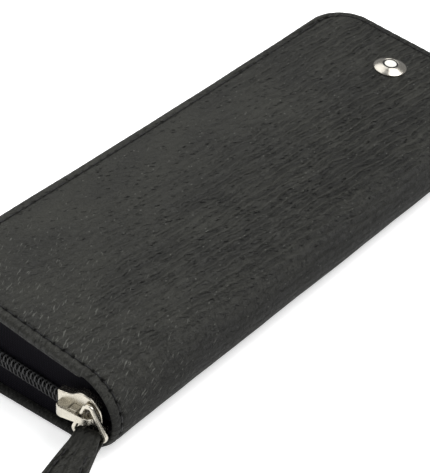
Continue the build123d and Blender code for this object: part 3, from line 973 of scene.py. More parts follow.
def strap(centre: np.ndarray, across: np.ndarray, up: np.ndarray, half_width: np.ndarray,
          thickness: float, columns: int = 12,
          relief: Optional[Callable[[np.ndarray, np.ndarray], np.ndarray]] = None
          ) -> tuple[np.ndarray, list, np.ndarray]:
    """Sweeps a flat band with rounded edges along a line.

    Args:
        centre: Middle of the band at each station.
        across: Direction of its width at each station.
        up: Direction of its thickness at each station.
        half_width: Half its width at each station.
        thickness: Its thickness.
        columns: Number of columns on each face.
        relief: Height added to the upper face, from the place across and the distance to the edge.

    Returns:
        Points, faces and flat places.
    """
    r = thickness / 2
    span = np.linspace(1, -1, columns)
    arc = np.linspace(math.pi / 2, -math.pi / 2, 7)[1:-1]
    steps = np.linalg.norm(np.diff(centre, axis=0), axis=1)
    walk = np.concatenate([[0], np.cumsum(steps)])
    inner = np.maximum(half_width - r, 0.02)[:, None]
    upper_a, lower_a = inner * span, inner * span[::-1]
    right_a = inner + r * np.cos(arc)
    side_b = np.broadcast_to(r * np.sin(arc), right_a.shape)
    top_b = np.full(upper_a.shape, r)
    if relief is not None:
        top_b = top_b + relief(upper_a, inner + r - np.abs(upper_a))
    a = np.hstack([upper_a[:, ::-1], right_a, lower_a[:, ::-1], -right_a])
    b = np.hstack([top_b[:, ::-1], side_b, -np.full(lower_a.shape, r), -side_b])
    points = centre[:, None] + a[..., None] * across[:, None] + b[..., None] * up[:, None]
    index = np.arange(a.size).reshape(a.shape)
    flat = np.stack([a, walk[:, None] + 0 * a, b], axis=-1)
    faces = [grid_faces(index, wrap=True), index[:1, ::-1], index[-1:]]
    return points.reshape(-1, 3), faces, flat.reshape(-1, 3)


def tube(path: np.ndarray, reference: np.ndarray, section: np.ndarray,
         closed: bool = False) -> tuple[np.ndarray, list]:
    """Sweeps a section along a line.

    Args:
        path: Points of the line.
        reference: Direction that the section's first axis keeps to, at each point.
        section: Points of the section, counter-clockwise.
        closed: Whether the line ends where it starts.

    Returns:
        Points and faces.
    """
    if closed:
        tangent = unit(np.roll(path, -1, axis=0) - np.roll(path, 1, axis=0))
    else:
        tangent = unit(np.gradient(path, axis=0))
    first = unit(reference - np.einsum("ij,ij->i", reference, tangent)[:, None] * tangent)
    second = np.cross(tangent, first)
    points = (path[:, None] + section[None, :, :1] * first[:, None]
              + section[None, :, 1:] * second[:, None])
    index = np.arange(len(path) * len(section)).reshape(len(path), len(section))
    if closed:
        return points.reshape(-1, 3), [grid_faces(np.vstack([index, index[:1]]), wrap=True)]
    return points.reshape(-1, 3), [grid_faces(index, wrap=True), index[:1, ::-1], index[-1:]]


# --- the leather wrap ---


@dataclass(frozen=True)
class WrapSizes:
    """Sizes of the wrap and its stitching, in millimetres.

    The step is the spacing of the skin's columns. The inset, pitch, stitch and thread sizes are
    those of the seam. Puff, pucker, groove, pit and pressed shape the hem. The pocket's leather
    lies over the boards. The sag lifts the upper cover's ends and lowers its middle. On the
    lower cover the relief starts a little deeper and never stands out past its plane.
    """

    step: float = 0.8
    inset: float = 2.7
    pitch: float = 3.2
    stitch: float = 2.45
    thread: float = 0.5
    thread_height: float = 0.42
    thread_foot: float = -0.18
    puff: float = 0.24
    pucker: float = 0.16
    groove: float = 0.34
    pit: float = 0.34
    pressed: float = 0.35
    pocket_leather: float = 1.15
    sag_ends: float = 1.15
    sag_middle: float = 0.5
    flat_below: float = 0.12
    edge_wave: float = 0.10


class LeatherWrap:
    """One skin of leather from the lower zip edge round the spine to the upper one."""

    def __init__(self, sizes: WrapSizes, materials: Materials) -> None:
        """Keeps the sizes and the finishes."""
        self.sizes = sizes
        self.materials = materials
        self.sheet = RoundedSheet(
            FORM.girth, FORM.length, FORM.corner, sizes.step, self.thickness, 1.0,
            (7.0, 6.1, 5.2, 4.4, 3.8, 3.4, 3.05, 2.7, 2.35, 2.0, 1.65, 1.3),
            (1.5, 3.0, 5.0, 5.9))

    @staticmethod
    def thickness(s: np.ndarray) -> np.ndarray:
        """Hem thickness on the covers, easing to the single spine leather."""
        into = np.minimum(s - FORM.reach, FORM.reach + FORM.arc - s)
        return FORM.hem + (FORM.spine_leather - FORM.hem) * ease(into / 1.5 + 0.5)

    def relief(self, flat: Layout, stitch: np.ndarray) -> np.ndarray:
        """Height of the outer face.

        The hem swells between the edge and the stitches and is drawn in at each needle hole.
        The stitch line is a narrow trough. The rest rises and falls very gently.

        Args:
            flat: The skin laid flat.
            stitch: Number of stitches walked; whole at the needle holes.

        Returns:
            Height of each point, before it fades towards the inner face.
        """
        z = self.sizes
        phase = stitch % 1.0
        near_hole = bell(np.minimum(phase, 1 - phase), 0.13)
        full = 0.5 - 0.5 * np.cos(2 * np.pi * phase)
        beside = flat.inset - z.inset
        outer = np.sin(np.pi * np.clip(flat.inset / z.inset, 0, 1)) ** 0.8
        inner = ease(beside / 1.2) * (1 - ease((beside - 1.0) / 5.5))
        height = z.puff * (outer * (0.55 + 0.45 * full) + 0.55 * inner * (0.7 + 0.3 * full))
        height -= z.groove * bell(beside, 0.42) * (0.6 + 0.4 * (1 - full))
        height -= z.pucker * near_hole * bell(beside, 1.3)
        height -= z.pit * (near_hole * bell(beside, 0.36) * (flat.inset < 7.2))
        middle = ease((flat.inset - 4) / 8)
        height += middle * (0.16 * ripple(flat.s, flat.y, 3, 34) + 0.07 * ripple(flat.s, flat.y, 8, 13))
        height -= z.pressed * ease(1 - flat.inset / z.inset)
        return height

    def sag(self, s: np.ndarray, y: np.ndarray) -> np.ndarray:
        """How far the upper cover stands up at its ends and hangs midway, least at the spine."""
        from_spine = ease((s - FORM.reach - FORM.arc) / (0.9 * FORM.reach))
        return from_spine * (self.sizes.sag_ends * (y / FORM.half) ** 2 - self.sizes.sag_middle)

    @staticmethod
    def in_pocket(flat: Layout, thick: np.ndarray) -> np.ndarray:
        """Which points lie on the inner face inside the hems, where the boards are let in."""
        on_inner_face = flat.depth > thick * 0.999
        from_spine = np.minimum(np.abs(flat.s - FORM.reach), np.abs(flat.s - FORM.reach - FORM.arc))
        on_cover = ((flat.s < FORM.reach - FORM.hem_width)
                    | (flat.s > FORM.girth - FORM.reach + FORM.hem_width))
        return (on_inner_face & on_cover & (flat.inset > FORM.hem_width - 0.05)
                & (from_spine > FORM.hem_width))

    def build(self) -> None:
        """Makes the skin and its stitches."""
        z = self.sizes
        flat = self.sheet.layout(z.inset)
        total = self.sheet.seam(z.inset)[1][-1]
        stitch = flat.walk * round(total / z.pitch) / total
        thick = self.thickness(flat.s)
        share = np.clip(1 - flat.depth / thick, 0, 1)
        lower = flat.s < FORM.reach - 2
        height = self.relief(flat, stitch)
        height = np.where(lower, np.minimum(height - z.flat_below, 0), height)
        depth = np.where(self.in_pocket(flat, thick), z.pocket_leather, flat.depth)
        wave = z.edge_wave * ripple(flat.s, flat.y, 5, 26) * bell(flat.inset, 2.5)
        out = height * share - depth + self.sag(flat.s, flat.y) + np.where(lower, 0, wave)
        points = FORM.fold(flat.s, flat.y, out)
        place = np.stack([flat.s, flat.y, 3.0 * (share < 0.5)], axis=-1)
        skin = make_piece("case_leather", points, flat.faces, place, stitch=stitch, inset=flat.inset)
        dress(skin, self.materials.leather, instead_of=(
            "lower_cover_leather", "upper_cover_leather", "lower_spine_leather",
            "upper_spine_leather"))
        bend(skin)
        self.build_stitches()

    def build_stitches(self) -> None:
        """Lays one waxed stitch between each two needle holes."""
        z = self.sizes
        (s, y), (s2, y2) = (places.T for places in self.sheet.stitches(z.inset, z.pitch))
        low = self.sag(s, y) + z.thread_foot
        foot = FORM.fold(s, y, low)
        along = unit(FORM.fold(s2, y2, self.sag(s2, y2) + z.thread_foot) - foot)
        up = unit(FORM.fold(s, y, low + 1.0) - foot)
        foot = np.where((s < FORM.reach)[:, None], foot - z.flat_below / 2 * up, foot)
        points, faces, flat = capsules(foot, along, up, z.stitch, z.thread, z.thread_height, 0.45)
        row = make_piece("edge_stitching", points, faces, flat)
        dress(row, self.materials.thread,
              instead_of=("lower_edge_stitching", "upper_edge_stitching"))
        bend(row)


def bend(piece: bpy.types.Object) -> None:
    """Bakes the piece's placement into its points and leaves it at the origin."""
    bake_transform(piece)


# --- linings ---


class Linings:
    """Linings of the covers and of the spine."""

    def __init__(self, materials: Materials) -> None:
        """Keeps the finishes."""
        self.materials = materials

    def build(self) -> None:
        """Makes two cover linings and the one round the spine."""
        inset = FORM.hem_width + 0.05
        width = FORM.reach - 2 * inset
        for lid in (False, True):
            sheet = RoundedSheet(width, FORM.length - 2 * inset, FORM.corner - inset, 1.6,
                                 even(0.6), 0.22, (3.0, 1.8, 0.9, 0.45), (1.5,), 0.9)
            flat = sheet.layout(1.0)
            up = 0.05 * ripple(flat.s, flat.y, 21 + lid, 18) * ease(flat.inset / 4)
            z = FORM.hem - 0.02 - flat.depth + np.where(flat.depth < 0.3, up - 0.03, 0)
            points = np.stack([FORM.edge_x + inset + flat.s, flat.y, z], axis=-1)
            side = "upper" if lid else "lower"
            piece = make_piece(f"{side}_lining", FORM.mirrored(points) if lid else points, flat.faces,
                               np.stack([flat.s, flat.y, 0 * flat.s], axis=-1))
            dress(piece, self.materials.lining, Body.LID if lid else Body.BASE,
                  [f"{side}_cover_lining"])
        thick = 0.55
        sheet = RoundedSheet(FORM.arc, FORM.length - 2 * FORM.hem_width, 1.0, 1.2,
                             even(thick), 0.2, (0.8, 0.45), (0.6,), 0.15)
        flat = sheet.layout(0.5)
        out = -FORM.spine_leather - 0.05 - (thick - flat.depth)
        points = FORM.fold(FORM.reach + flat.s, flat.y, out)
        piece = make_piece("spine_lining", points, flat.faces,
                           np.stack([flat.s, flat.y, 0 * flat.s], axis=-1))
        dress(piece, self.materials.lining,
              instead_of=("lower_spine_lining", "upper_spine_lining"))
        bend(piece)


# --- zip ---


@dataclass(frozen=True)
class ZipSizes:
    """Sizes of the tapes and the coil, in millimetres.

    Insets count from the covers' edge, and the ends are places across the case. The wire is the
    radius of the coil's filament, and the head is how far a loop reaches past the middle.
    """

    tape_inset: float = 1.8
    tape: float = 0.6
    tape_gap: float = 0.9
    tape_bow: float = 0.35
    flange: float = 5.0
    short_flange: float = 0.6
    tape_end_x: float = 29.6
    coil_inset: float = 0.2
    coil_depth: float = 1.6
    half_chain: float = 2.5
    pitch: float = 1.33
    wire: float = 0.26
    widen: float = 0.24
    head: float = 0.42
    upper_end_x: float = 13.6
    lower_end_x: float = 26.6
    far_end_x: float = 22.0


class Zip:
    """Two woven tapes, each with half of the coil."""

    def __init__(self, sizes: ZipSizes, materials: Materials) -> None:
        """Keeps the sizes and the finishes."""
        self.sizes = sizes
        self.materials = materials

    def build(self) -> None:
        """Makes both tapes and both coil halves."""
        z = self.sizes
        for lid in (False, True):
            self.build_tape(lid)
            self.build_coil(lid, z.upper_end_x if lid else z.lower_end_x)

    def build_tape(self, lid: bool) -> None:
        """Bends one tape from its sewn flange up to its free edge.

        The section runs along the hem, turns up in a small curve and stands behind the coil,
        bowed a little inwards halfway.
        """
        z = self.sizes
        drop = -FORM.seam_drop if lid else FORM.seam_drop
        place, outward, walk = FORM.zip_line(z.tape_inset, z.tape_end_x, z.tape_end_x, 1.2)
        x = place[:, 0]
        bore = FORM.radius - FORM.spine_leather - 0.65
        room = np.sqrt(np.clip(bore ** 2 - np.clip(x - FORM.spine_x, 0, None) ** 2, 0.5, None))
        foot = np.where(x > FORM.spine_x, np.maximum(FORM.hem, FORM.radius - room), FORM.hem)
        top = FORM.seam_height(x) - z.tape_gap - drop
        t = np.linspace(0, 1, 22)
        bow = z.tape_bow * np.sin(math.pi * np.clip(t / 0.8, 0, 1))
        height = foot[:, None] + (top - foot)[:, None] * t
        flange = np.where(x > FORM.spine_x - 6, z.short_flange, z.flange - z.tape)
        in_flange = flange[:, None] * np.linspace(1, 0, 8)[:-1]
        low = np.hstack([np.broadcast_to(foot[:, None], in_flange.shape), height])
        lift = np.hstack([np.full(in_flange.shape, z.tape),
                          np.clip(z.tape - (height - foot[:, None]), 0, None)])
        outer = np.hstack([in_flange, np.broadcast_to(bow, height.shape)])
        inner = np.hstack([in_flange + z.tape, np.broadcast_to(z.tape + bow, height.shape)])
        rows = []
        for inset, level in ((outer, low), (inner[:, ::-1], (low + lift)[:, ::-1])):
            plan = place[:, None] - inset[..., None] * outward[:, None]
            rows.append(np.concatenate([plan, level[..., None]], axis=-1))
        points = np.hstack(rows)
        across = low - np.hstack([in_flange, np.zeros(height.shape)])
        across = np.hstack([across, across[:, ::-1]])
        index = np.arange(points.shape[0] * points.shape[1]).reshape(points.shape[:2])
        faces = [grid_faces(index, wrap=True), index[:1, ::-1], index[-1:]]
        flat = np.stack([across, walk[:, None] + 0 * across, 0 * across], axis=-1)
        points = points.reshape(-1, 3)
        side = "upper" if lid else "lower"
        tape = make_piece(f"{side}_tape", FORM.mirrored(points) if lid else points, faces,
                          flat.reshape(-1, 3), sharp_deg=50)
        dress(tape, self.materials.tape, Body.LID if lid else Body.BASE,
              [f"{side}_zip_tape"])

    def build_coil(self, lid: bool, near_x: float) -> None:
        """Winds one half of the coil.

        Each turn goes out to the tape's side and in to the head, flat in front and behind. The
        halves are half a turn apart, so their heads lie between each other.
        """
        z = self.sizes
        per_turn = 16
        middle = z.coil_inset + z.coil_depth / 2
        place, outward, walk = FORM.zip_line(middle, near_x, z.far_end_x, z.pitch / per_turn)
        start = near_x - z.far_end_x
        phase = 2 * math.pi * (walk - start) / z.pitch + (math.pi if lid else 0)
        swing = fuller(np.cos(phase), 0.85)
        reach = (z.half_chain - z.wire + z.head) / 2
        centre = (-(z.half_chain - z.wire) + z.head) / 2
        up = centre + reach * swing
        out = -(z.coil_depth / 2 - z.wire) * np.sin(phase)
        onward = -z.widen * z.pitch * np.sin(phase)
        tangent = unit(np.gradient(place, axis=0))
        plan = place + out[:, None] * outward + onward[:, None] * tangent
        level = FORM.seam_height(place[:, 0]) - FORM.seam_drop
        path = np.column_stack([plan, level + (-up if lid else up)])
        angle = np.linspace(0, 2 * math.pi, 6, endpoint=False)
        section = z.wire * np.stack([np.cos(angle), np.sin(angle)], axis=-1)
        points, faces = tube(path, np.column_stack([tangent, 0 * walk]), section)
        side = "upper" if lid else "lower"
        coil = make_piece(f"{side}_coil", points, faces)
        dress(coil, self.materials.coil, Body.LID if lid else Body.BASE,
              [f"{side}_zip_coil"])


# --- slider, ring and tab ---


@dataclass(frozen=True)
class SliderSizes:
    """Sizes of the slider, its ring and its strap, in millimetres.

    The first four place the slider: across the case, along it, above the seam, and its turn. The
    ring's place is the middle of its short side at rest. The strap's near and far widths are
    half widths.
    """

    x: float = 21.2
    middle: float = -86.2
    rise: float = 1.4
    yaw: float = 6.0
    length: float = 12.5
    height: float = 10.6
    lower_share: float = 0.78
    depth: float = 5.4066
    plate: float = 0.8
    crown_height: float = 2.65
    crown_hole: float = 2.25
    wire: float = 1.2
    ring_top: float = 1.7
    ring_base: float = 10.2
    ring_height: float = 8.4
    ring_corner: float = 1.0
    ring_at: tuple = (25.65, -89.36, 16.2)
    ring_turns: tuple = (8.0, -5.0, -2.7)
    tab_length: float = 38.0
    tab_near: float = 3.55
    tab_far: float = 7.5
    tab_leather: float = 0.85
    tab_play: float = 0.15
    tab_tip: float = 4.0
    tab_groove: float = 0.16
    stitch_inset: float = 1.6
    first_stitch: float = 6.5
    stitch_pitch: float = 3.2
    stitches: int = 9


SHIELD = np.array([(-0.99, 0.70), (-0.97, 0.75), (-0.74, 0.78), (-0.47, 0.86), (-0.22, 0.99), (-0.02, 1.17),
                   (0.21, 1.23), (0.46, 1.19), (0.68, 1.1), (0.87, 0.94), (1.03, 0.69), (1.1, 0.4),
                   (1.12, 0.0)])  # knots of the slider's outline, as shares of half its length and height


class Slider:
    """Zip slider with its crown, wire ring and leather strap."""

    def __init__(self, sizes: SliderSizes, materials: Materials) -> None:
        """Works out the frames of the slider and its ring."""
        self.sizes = z = sizes
        self.materials = materials
        tilt = FORM.wedge_deg / 2
        self.frame = (moved(FORM.spine_x, 0, FORM.radius) @ turned("Y", tilt)
                      @ moved((z.x - FORM.spine_x) / math.cos(math.radians(tilt)), z.middle,
                              z.rise - FORM.seam_drop) @ turned("Z", z.yaw))
        yaw, pitch, roll = z.ring_turns
        self.ring_frame = moved(*z.ring_at) @ turned("Z", yaw) @ turned("X", pitch) @ turned("Y", roll)

    def outline(self, inset: float) -> np.ndarray:
        """Shield outline: square at the chain's end, widest past the middle, round at its nose.

        Args:
            inset: How far the outline is drawn in.

        Returns:
            Places along and across the slider, once round it.
        """
        z = self.sizes
        knots = SHIELD * [z.length / 2, z.height / 2]
        knot = np.linspace(0, 1, len(knots))
        t = np.linspace(0, 1, 49)
        upper = np.column_stack([self.curve(knot, values, t) for values in knots.T])
        loop = np.vstack([upper, (upper * [1, -z.lower_share])[-2::-1]])
        side = np.roll(loop, -1, axis=0) - np.roll(loop, 1, axis=0)
        normal = unit(np.column_stack([-side[:, 1], side[:, 0]]))
        return loop - inset * normal

    @staticmethod
    def curve(knot: np.ndarray, values: np.ndarray, t: np.ndarray) -> np.ndarray:
        """Smooth line through values at knots, by cubic pieces with mean slopes."""
        slope = np.gradient(values, knot)
        i = np.clip(np.searchsorted(knot, t) - 1, 0, len(knot) - 2)
        width = knot[i + 1] - knot[i]
        u = (t - knot[i]) / width
        return ((2 * u ** 3 - 3 * u ** 2 + 1) * values[i] + (u ** 3 - 2 * u ** 2 + u) * width * slope[i]
                + (3 * u ** 2 - 2 * u ** 3) * values[i + 1] + (u ** 3 - u ** 2) * width * slope[i + 1])

    def plate(self, near: float, far: float, dome: float, shares: Sequence[float],
              scale: float = 1.0) -> tuple:
        """One rounded plate between two depths, domed on its far side.

        Args:
            near: Depth of its inner face, outwards from the slider's middle.
            far: Depth of its outer face.
            dome: How much the middle of the outer face stands out.
            shares: Shares of the outline for the rows across the faces.
            scale: Size of the plate, as a share of the outline.

        Returns:
            Points and faces in the slider's frame.
        """
        sign = 1 if far > near else -1
        r = min(0.32, abs(far - near) / 2)
        angles = np.linspace(0, math.pi / 2, 4)
        rows = [(share, r, near, 0) for share in shares]
        rows += [(1, r * (1 - math.sin(a)), near + sign * r * (1 - math.cos(a)), 0) for a in angles]
        rows += [(1, r * (1 - math.cos(a)), far - sign * r * (1 - math.sin(a)), 0) for a in angles]
        rows += [(share, r, far, 1) for share in shares[::-1]]
        layers = []
        for share, inset, depth, domed in rows:
            loop = self.outline(inset) * share * scale
            out = depth + sign * (dome * (1 - share ** 2) * domed)
            layers.append(np.column_stack([loop[:, 0], np.full(len(loop), -out), loop[:, 1]]))
        points = np.vstack(layers)
        index = np.arange(len(points)).reshape(len(layers), len(layers[0]))
        return points, [grid_faces(index, wrap=True), index[:1, ::-1], index[-1:]]

    def build(self) -> None:
        """Makes the body, the crown, the ring and the strap."""
        self.build_body()
        self.build_crown()
        self.build_ring()
        self.build_tab()

    @staticmethod
    def join(parts: Sequence[tuple]) -> tuple[np.ndarray, list]:
        """Puts several sets of points and faces into one."""
        points, faces, used = [], [], 0
        for part_points, part_faces in parts:
            if signed_volume(part_points, [np.asarray(f) for f in part_faces]) < 0:
                part_faces = [np.asarray(f)[:, ::-1] for f in part_faces]
            points.append(part_points)
            faces.extend(np.asarray(f) + used for f in part_faces)
            used += len(part_points)
        return np.vstack(points), faces

    def build_body(self) -> None:
        """Outer and inner plates with turned-in side flanges and the post between the coils."""
        z = self.sizes
        half = z.depth / 2
        shares = (0.02, 0.35, 0.7, 0.9, 1.0)
        outer = self.plate(half - z.plate - 0.05, half, 0.14, shares)
        inner = self.plate(-(half - z.plate), -half, 0.05, shares, 0.86)
        post = self.bar((z.length / 2 - 3.2, 0, -z.rise), (2.8, z.depth - 1.2, 1.2), 0.3)
        parts = [outer, inner, post, self.flange(1, half - 2.4, half - 0.3),
                 self.flange(-1, half - 1.2, half - 0.3)]
        points, faces = self.join(parts)
        body = make_piece("slider_shell", transform(points, self.frame), faces, sharp_deg=60)
        dress(body, self.materials.nickel, Body.SLIDER, ["slider_body"])

    def flange(self, side: int, low: float, high: float) -> tuple[np.ndarray, list]:
        """Edge of the outer plate, turned in towards the tape on one side, between two depths."""
        upper = self.outline(0.34)[3:40]  # the upper side without its ends
        rise = upper[:, 1] * (1 if side > 0 else -self.sizes.lower_share)
        path = np.column_stack([upper[:, 0], np.zeros(len(upper)), rise])
        up = np.tile([0.0, -1.0, 0.0], (len(path), 1))
        section = np.array([(-0.3, low), (0.3, low), (0.32, high), (-0.32, high)])
        tangent = unit(np.gradient(path, axis=0))
        across = np.cross(up, tangent)
        points = (path[:, None] + section[None, :, :1] * across[:, None]
                  + section[None, :, 1:] * up[:, None])
        index = np.arange(len(path) * len(section)).reshape(len(path), len(section))
        return points.reshape(-1, 3), [grid_faces(index, wrap=True), index[:1, ::-1], index[-1:]]

    @staticmethod
    def bar(centre: Sequence[float], size: Sequence[float], r: float) -> tuple[np.ndarray, list]:
        """Bar with rounded long edges, standing across the plates."""
        count = 24
        angle = np.linspace(0, 2 * math.pi, count, endpoint=False)
        corner_x, corner_z = size[0] / 2 - r, size[2] / 2 - r
        x = np.sign(np.cos(angle)) * corner_x + r * np.cos(angle)
        z = np.sign(np.sin(angle)) * corner_z + r * np.sin(angle)
        rows = [np.column_stack([centre[0] + x, np.full(count, y), centre[2] + z])
                for y in (centre[1] - size[1] / 2, centre[1] + size[1] / 2)]
        index = np.arange(2 * count).reshape(2, count)
        return np.vstack(rows), [grid_faces(index, wrap=True), index[:1, ::-1], index[-1:]]

    def prism(self, sections: Sequence[Sequence[tuple]], sink: float, name: str,
              bevel: float) -> bpy.types.Object:
        """Block between a lower and an upper side face, its edges rounded.

        The crown's middle line rises towards the spine, and its width narrows.

        Args:
            sections: Corners of both side faces, each a place along and a height off the plate.
            sink: How far the side faces lie inside the crown's own.
            name: Name of the piece.
            bevel: Radius of the edges.

        Returns:
            The piece, in the case's frame.
        """
        rows = []
        for sign, section in zip((-1, 1), sections):
            along, out = np.array(section).T
            past_heel = np.clip(along + 3.5, 0, None)
            half = 1.5 - 0.07 * past_heel - sink
            middle = 0.1 * past_heel
            rows.append(np.column_stack([along, -self.sizes.depth / 2 - out, middle + sign * half]))
        count = len(rows[0])
        index = np.arange(2 * count).reshape(2, count)
        faces = [grid_faces(index, wrap=True), index[:1, ::-1], index[-1:]]
        piece = make_piece(name, transform(np.vstack(rows), self.frame), faces, sharp_deg=30)
        edge = piece.modifiers.new("rounded_edges", "BEVEL")
        edge.width, edge.segments, edge.limit_method = bevel * MM, 3, "ANGLE"
        edge.harden_normals = True
        return piece

    def build_crown(self) -> None:
        """Massive crown along the outer plate, with a slanted hole for the ring's leg."""
        z = self.sizes
        outer = z.crown_height
        contour = [(-5.5, -0.1), (-5.5, 0.9), (-5.36, 1.6), (-4.95, 2.15), (-4.35, 2.5), (-3.5, outer),
                   (1.0, outer), (3.4, outer - 0.05), (4.3, 2.35), (4.9, 1.75), (5.2, 0.9), (5.3, -0.1)]
        sections = [contour + [(high, -0.1), (high, z.crown_hole), (low, z.crown_hole), (low, 1.35),
                               (-1.95, 1.35), (-1.95, -0.1)]
                    for low, high in ((0.1, 2.2), (0.6, 3.0))]
        crown = self.prism(sections, 0.0, "slider_bridge", 0.22)
        dress(crown, self.materials.nickel, Body.SLIDER, ["slider_crown"])
        lock = [[(-1.85, -0.1), (-1.85, 1.28), (right, 1.28), (right, -0.1)] for right in (0.0, 0.5)]
        block = self.prism(lock, 0.15, "slider_lock", 0.15)
        dress(block, self.materials.nickel, Body.SLIDER)

    def build_ring(self) -> None:
        """Wire bent into a trapezoid with small round corners."""
        z = self.sizes
        corners = np.array([[-z.ring_base / 2, -z.ring_height], [z.ring_base / 2, -z.ring_height],
                            [z.ring_top / 2, 0.0], [-z.ring_top / 2, 0.0]])
        path = rounded_loop(corners, z.ring_corner, 7, 5)
        path = np.column_stack([path[:, 0], np.zeros(len(path)), path[:, 1]])
        angle = np.linspace(0, 2 * math.pi, 16, endpoint=False)
        squared = np.column_stack([fuller(np.cos(angle), 0.55), fuller(np.sin(angle), 0.55)])
        upright = np.tile([0.0, 1.0, 0.0], (len(path), 1))
        points, faces = tube(path, upright, z.wire / 2 * squared, closed=True)
        ring = make_piece("ring_wire", transform(points, self.ring_frame), faces, sharp_deg=60)
        dress(ring, self.materials.nickel, Body.RING, ["pull_ring"])

    def tab_stations(self) -> tuple[np.ndarray, np.ndarray, np.ndarray, np.ndarray, np.ndarray]:
        """Middle line of the doubled strap, from the ring's bar to its tip.

        The strap leaves the bar sloping down, swings a little towards the spine, untwists and
        flattens on the floor.

        Returns:
            Places, directions across, directions up, half widths and distances.
        """
        z = self.sizes
        t = np.linspace(0, z.tab_length, 49)
        swing = np.radians(8.3 + 3.0 * ease(t / 14))
        slope = np.radians(19.5 * (1 - ease((t - 10) / 16)))
        roll = np.radians(2.4 * (1 - ease(t / 22)))
        heading = np.column_stack([
            np.sin(swing) * np.cos(slope), -np.cos(swing) * np.cos(slope), -np.sin(slope)])
        level = np.column_stack([np.cos(swing), np.sin(swing), 0 * t])
        normal = np.cross(level, heading) * -1
        across = np.cos(roll)[:, None] * level + np.sin(roll)[:, None] * normal
        up = unit(np.cross(heading, across)) * -1
        up = np.where(up[:, 2:] < 0, -up, up)
        bar = transform(np.array([[0.0, 0.0, -z.ring_height]]), self.ring_frame)[0]
        step = np.diff(t)[:, None]
        centre = bar + np.vstack([[0, 0, 0], np.cumsum((heading[1:] + heading[:-1]) / 2 * step, axis=0)])
        width = z.tab_near + (z.tab_far - z.tab_near) * (1 - (1 - t / z.tab_length) ** 1.6)
        into_tip = z.tab_tip - np.clip(z.tab_length - t, 0, z.tab_tip)
        width = width - (z.tab_tip - np.sqrt(np.clip(z.tab_tip ** 2 - into_tip ** 2, 0.3, None)))
        return centre, across, up, width, t

    def build_tab(self) -> None:
        """Strap folded round the ring's wide side, its leaves sewn together."""
        z = self.sizes
        centre, across, up, width, t = self.tab_stations()
        half = z.tab_leather / 2
        bar = z.wire / 2 + z.tab_play + half
        offset = half + (bar - half) * (1 - ease(t / 3.6))
        heading = unit(np.cross(across[0], up[0]))
        if heading @ (centre[1] - centre[0]) < 0:
            heading = -heading
        angle = np.linspace(-math.pi / 2, math.pi / 2, 13)[1:-1]
        fold_up = np.cos(angle)[:, None] * -heading + np.sin(angle)[:, None] * up[0]
        lower = centre - offset[:, None] * up
        upper = centre + offset[:, None] * up
        stations = np.vstack([lower[::-1], centre[0] + bar * fold_up, upper])
        ups = np.vstack([-up[::-1], fold_up, up])
        sides = np.vstack([across[::-1], np.tile(across[0], (len(angle), 1)), across])
        widths = np.concatenate([width[::-1], np.full(len(angle), width[0]), width])
        points, faces, flat = strap(
            stations, sides, ups, widths, z.tab_leather, 30,
            lambda side, to_edge: -z.tab_groove * bell(to_edge - 1.3, 0.5))
        tab = make_piece("strap_leather", points, faces, flat + np.array([126.0, 0, 0]), sharp_deg=70)
        dress(tab, self.materials.leather, Body.TAB, ["pull_tab"])
        self.build_tab_stitches(centre, across, up, width, t)

    def build_tab_stitches(self, centre: np.ndarray, across: np.ndarray, up: np.ndarray,
                           width: np.ndarray, t: np.ndarray) -> None:
        """Lays a row of stitches along each edge of the strap's upper leaf."""
        z = self.sizes
        marks = z.first_stitch + z.stitch_pitch * np.arange(z.stitches)
        middle, out, high = (np.column_stack([np.interp(marks, t, column) for column in line.T])
                             for line in (centre, across, up))
        high = unit(high)
        spread = (np.interp(marks, t, width) - z.stitch_inset)[:, None]
        feet = [middle + side * spread * out + 0.80 * high for side in (-1, 1)]
        along = np.vstack([unit(np.gradient(foot, axis=0)) for foot in feet])
        points, faces, flat = capsules(
            np.vstack(feet), along, np.vstack([high, high]), 2.45, 0.5, 0.4, 0.35)
        thread = make_piece("strap_stitching", points, faces, flat)
        dress(thread, self.materials.thread, Body.TAB, ["pull_tab_stitching"])


def rounded_loop(corners: np.ndarray, radius: float, per_corner: int, per_side: int) -> np.ndarray:
    """Walks round a closed polygon with rounded corners.

    Args:
        corners: Corners in order.
        radius: Radius of the rounding.
        per_corner: Points on each corner.
        per_side: Points between two corners.

    Returns:
        Points of the loop.
    """
    out = []
    count = len(corners)
    for i in range(count):
        here, before, after = corners[i], corners[i - 1], corners[(i + 1) % count]
        a, b = unit(before - here), unit(after - here)
        half = math.acos(float(np.clip(a @ b, -1, 1))) / 2
        cut = radius / math.tan(half)
        centre = here + unit(a + b) * radius / math.sin(half)
        start, end = here + a * cut - centre, here + b * cut - centre
        first = math.atan2(start[1], start[0])
        turn = (math.atan2(end[1], end[0]) - first + math.pi) % (2 * math.pi) - math.pi
        angle = first + turn * np.linspace(0, 1, per_corner)
        out.append(centre + radius * np.stack([np.cos(angle), np.sin(angle)], axis=-1))
        nxt_a, nxt_b = unit(here - after), unit(corners[(i + 2) % count] - after)
        nxt_half = math.acos(float(np.clip(nxt_a @ nxt_b, -1, 1))) / 2
        last, goal = out[-1][-1], after + nxt_a * radius / math.tan(nxt_half)
        share = np.linspace(0, 1, per_side + 2)[1:-1, None]
        out.append(last + (goal - last) * share)
    return np.vstack(out)


# --- stud ---


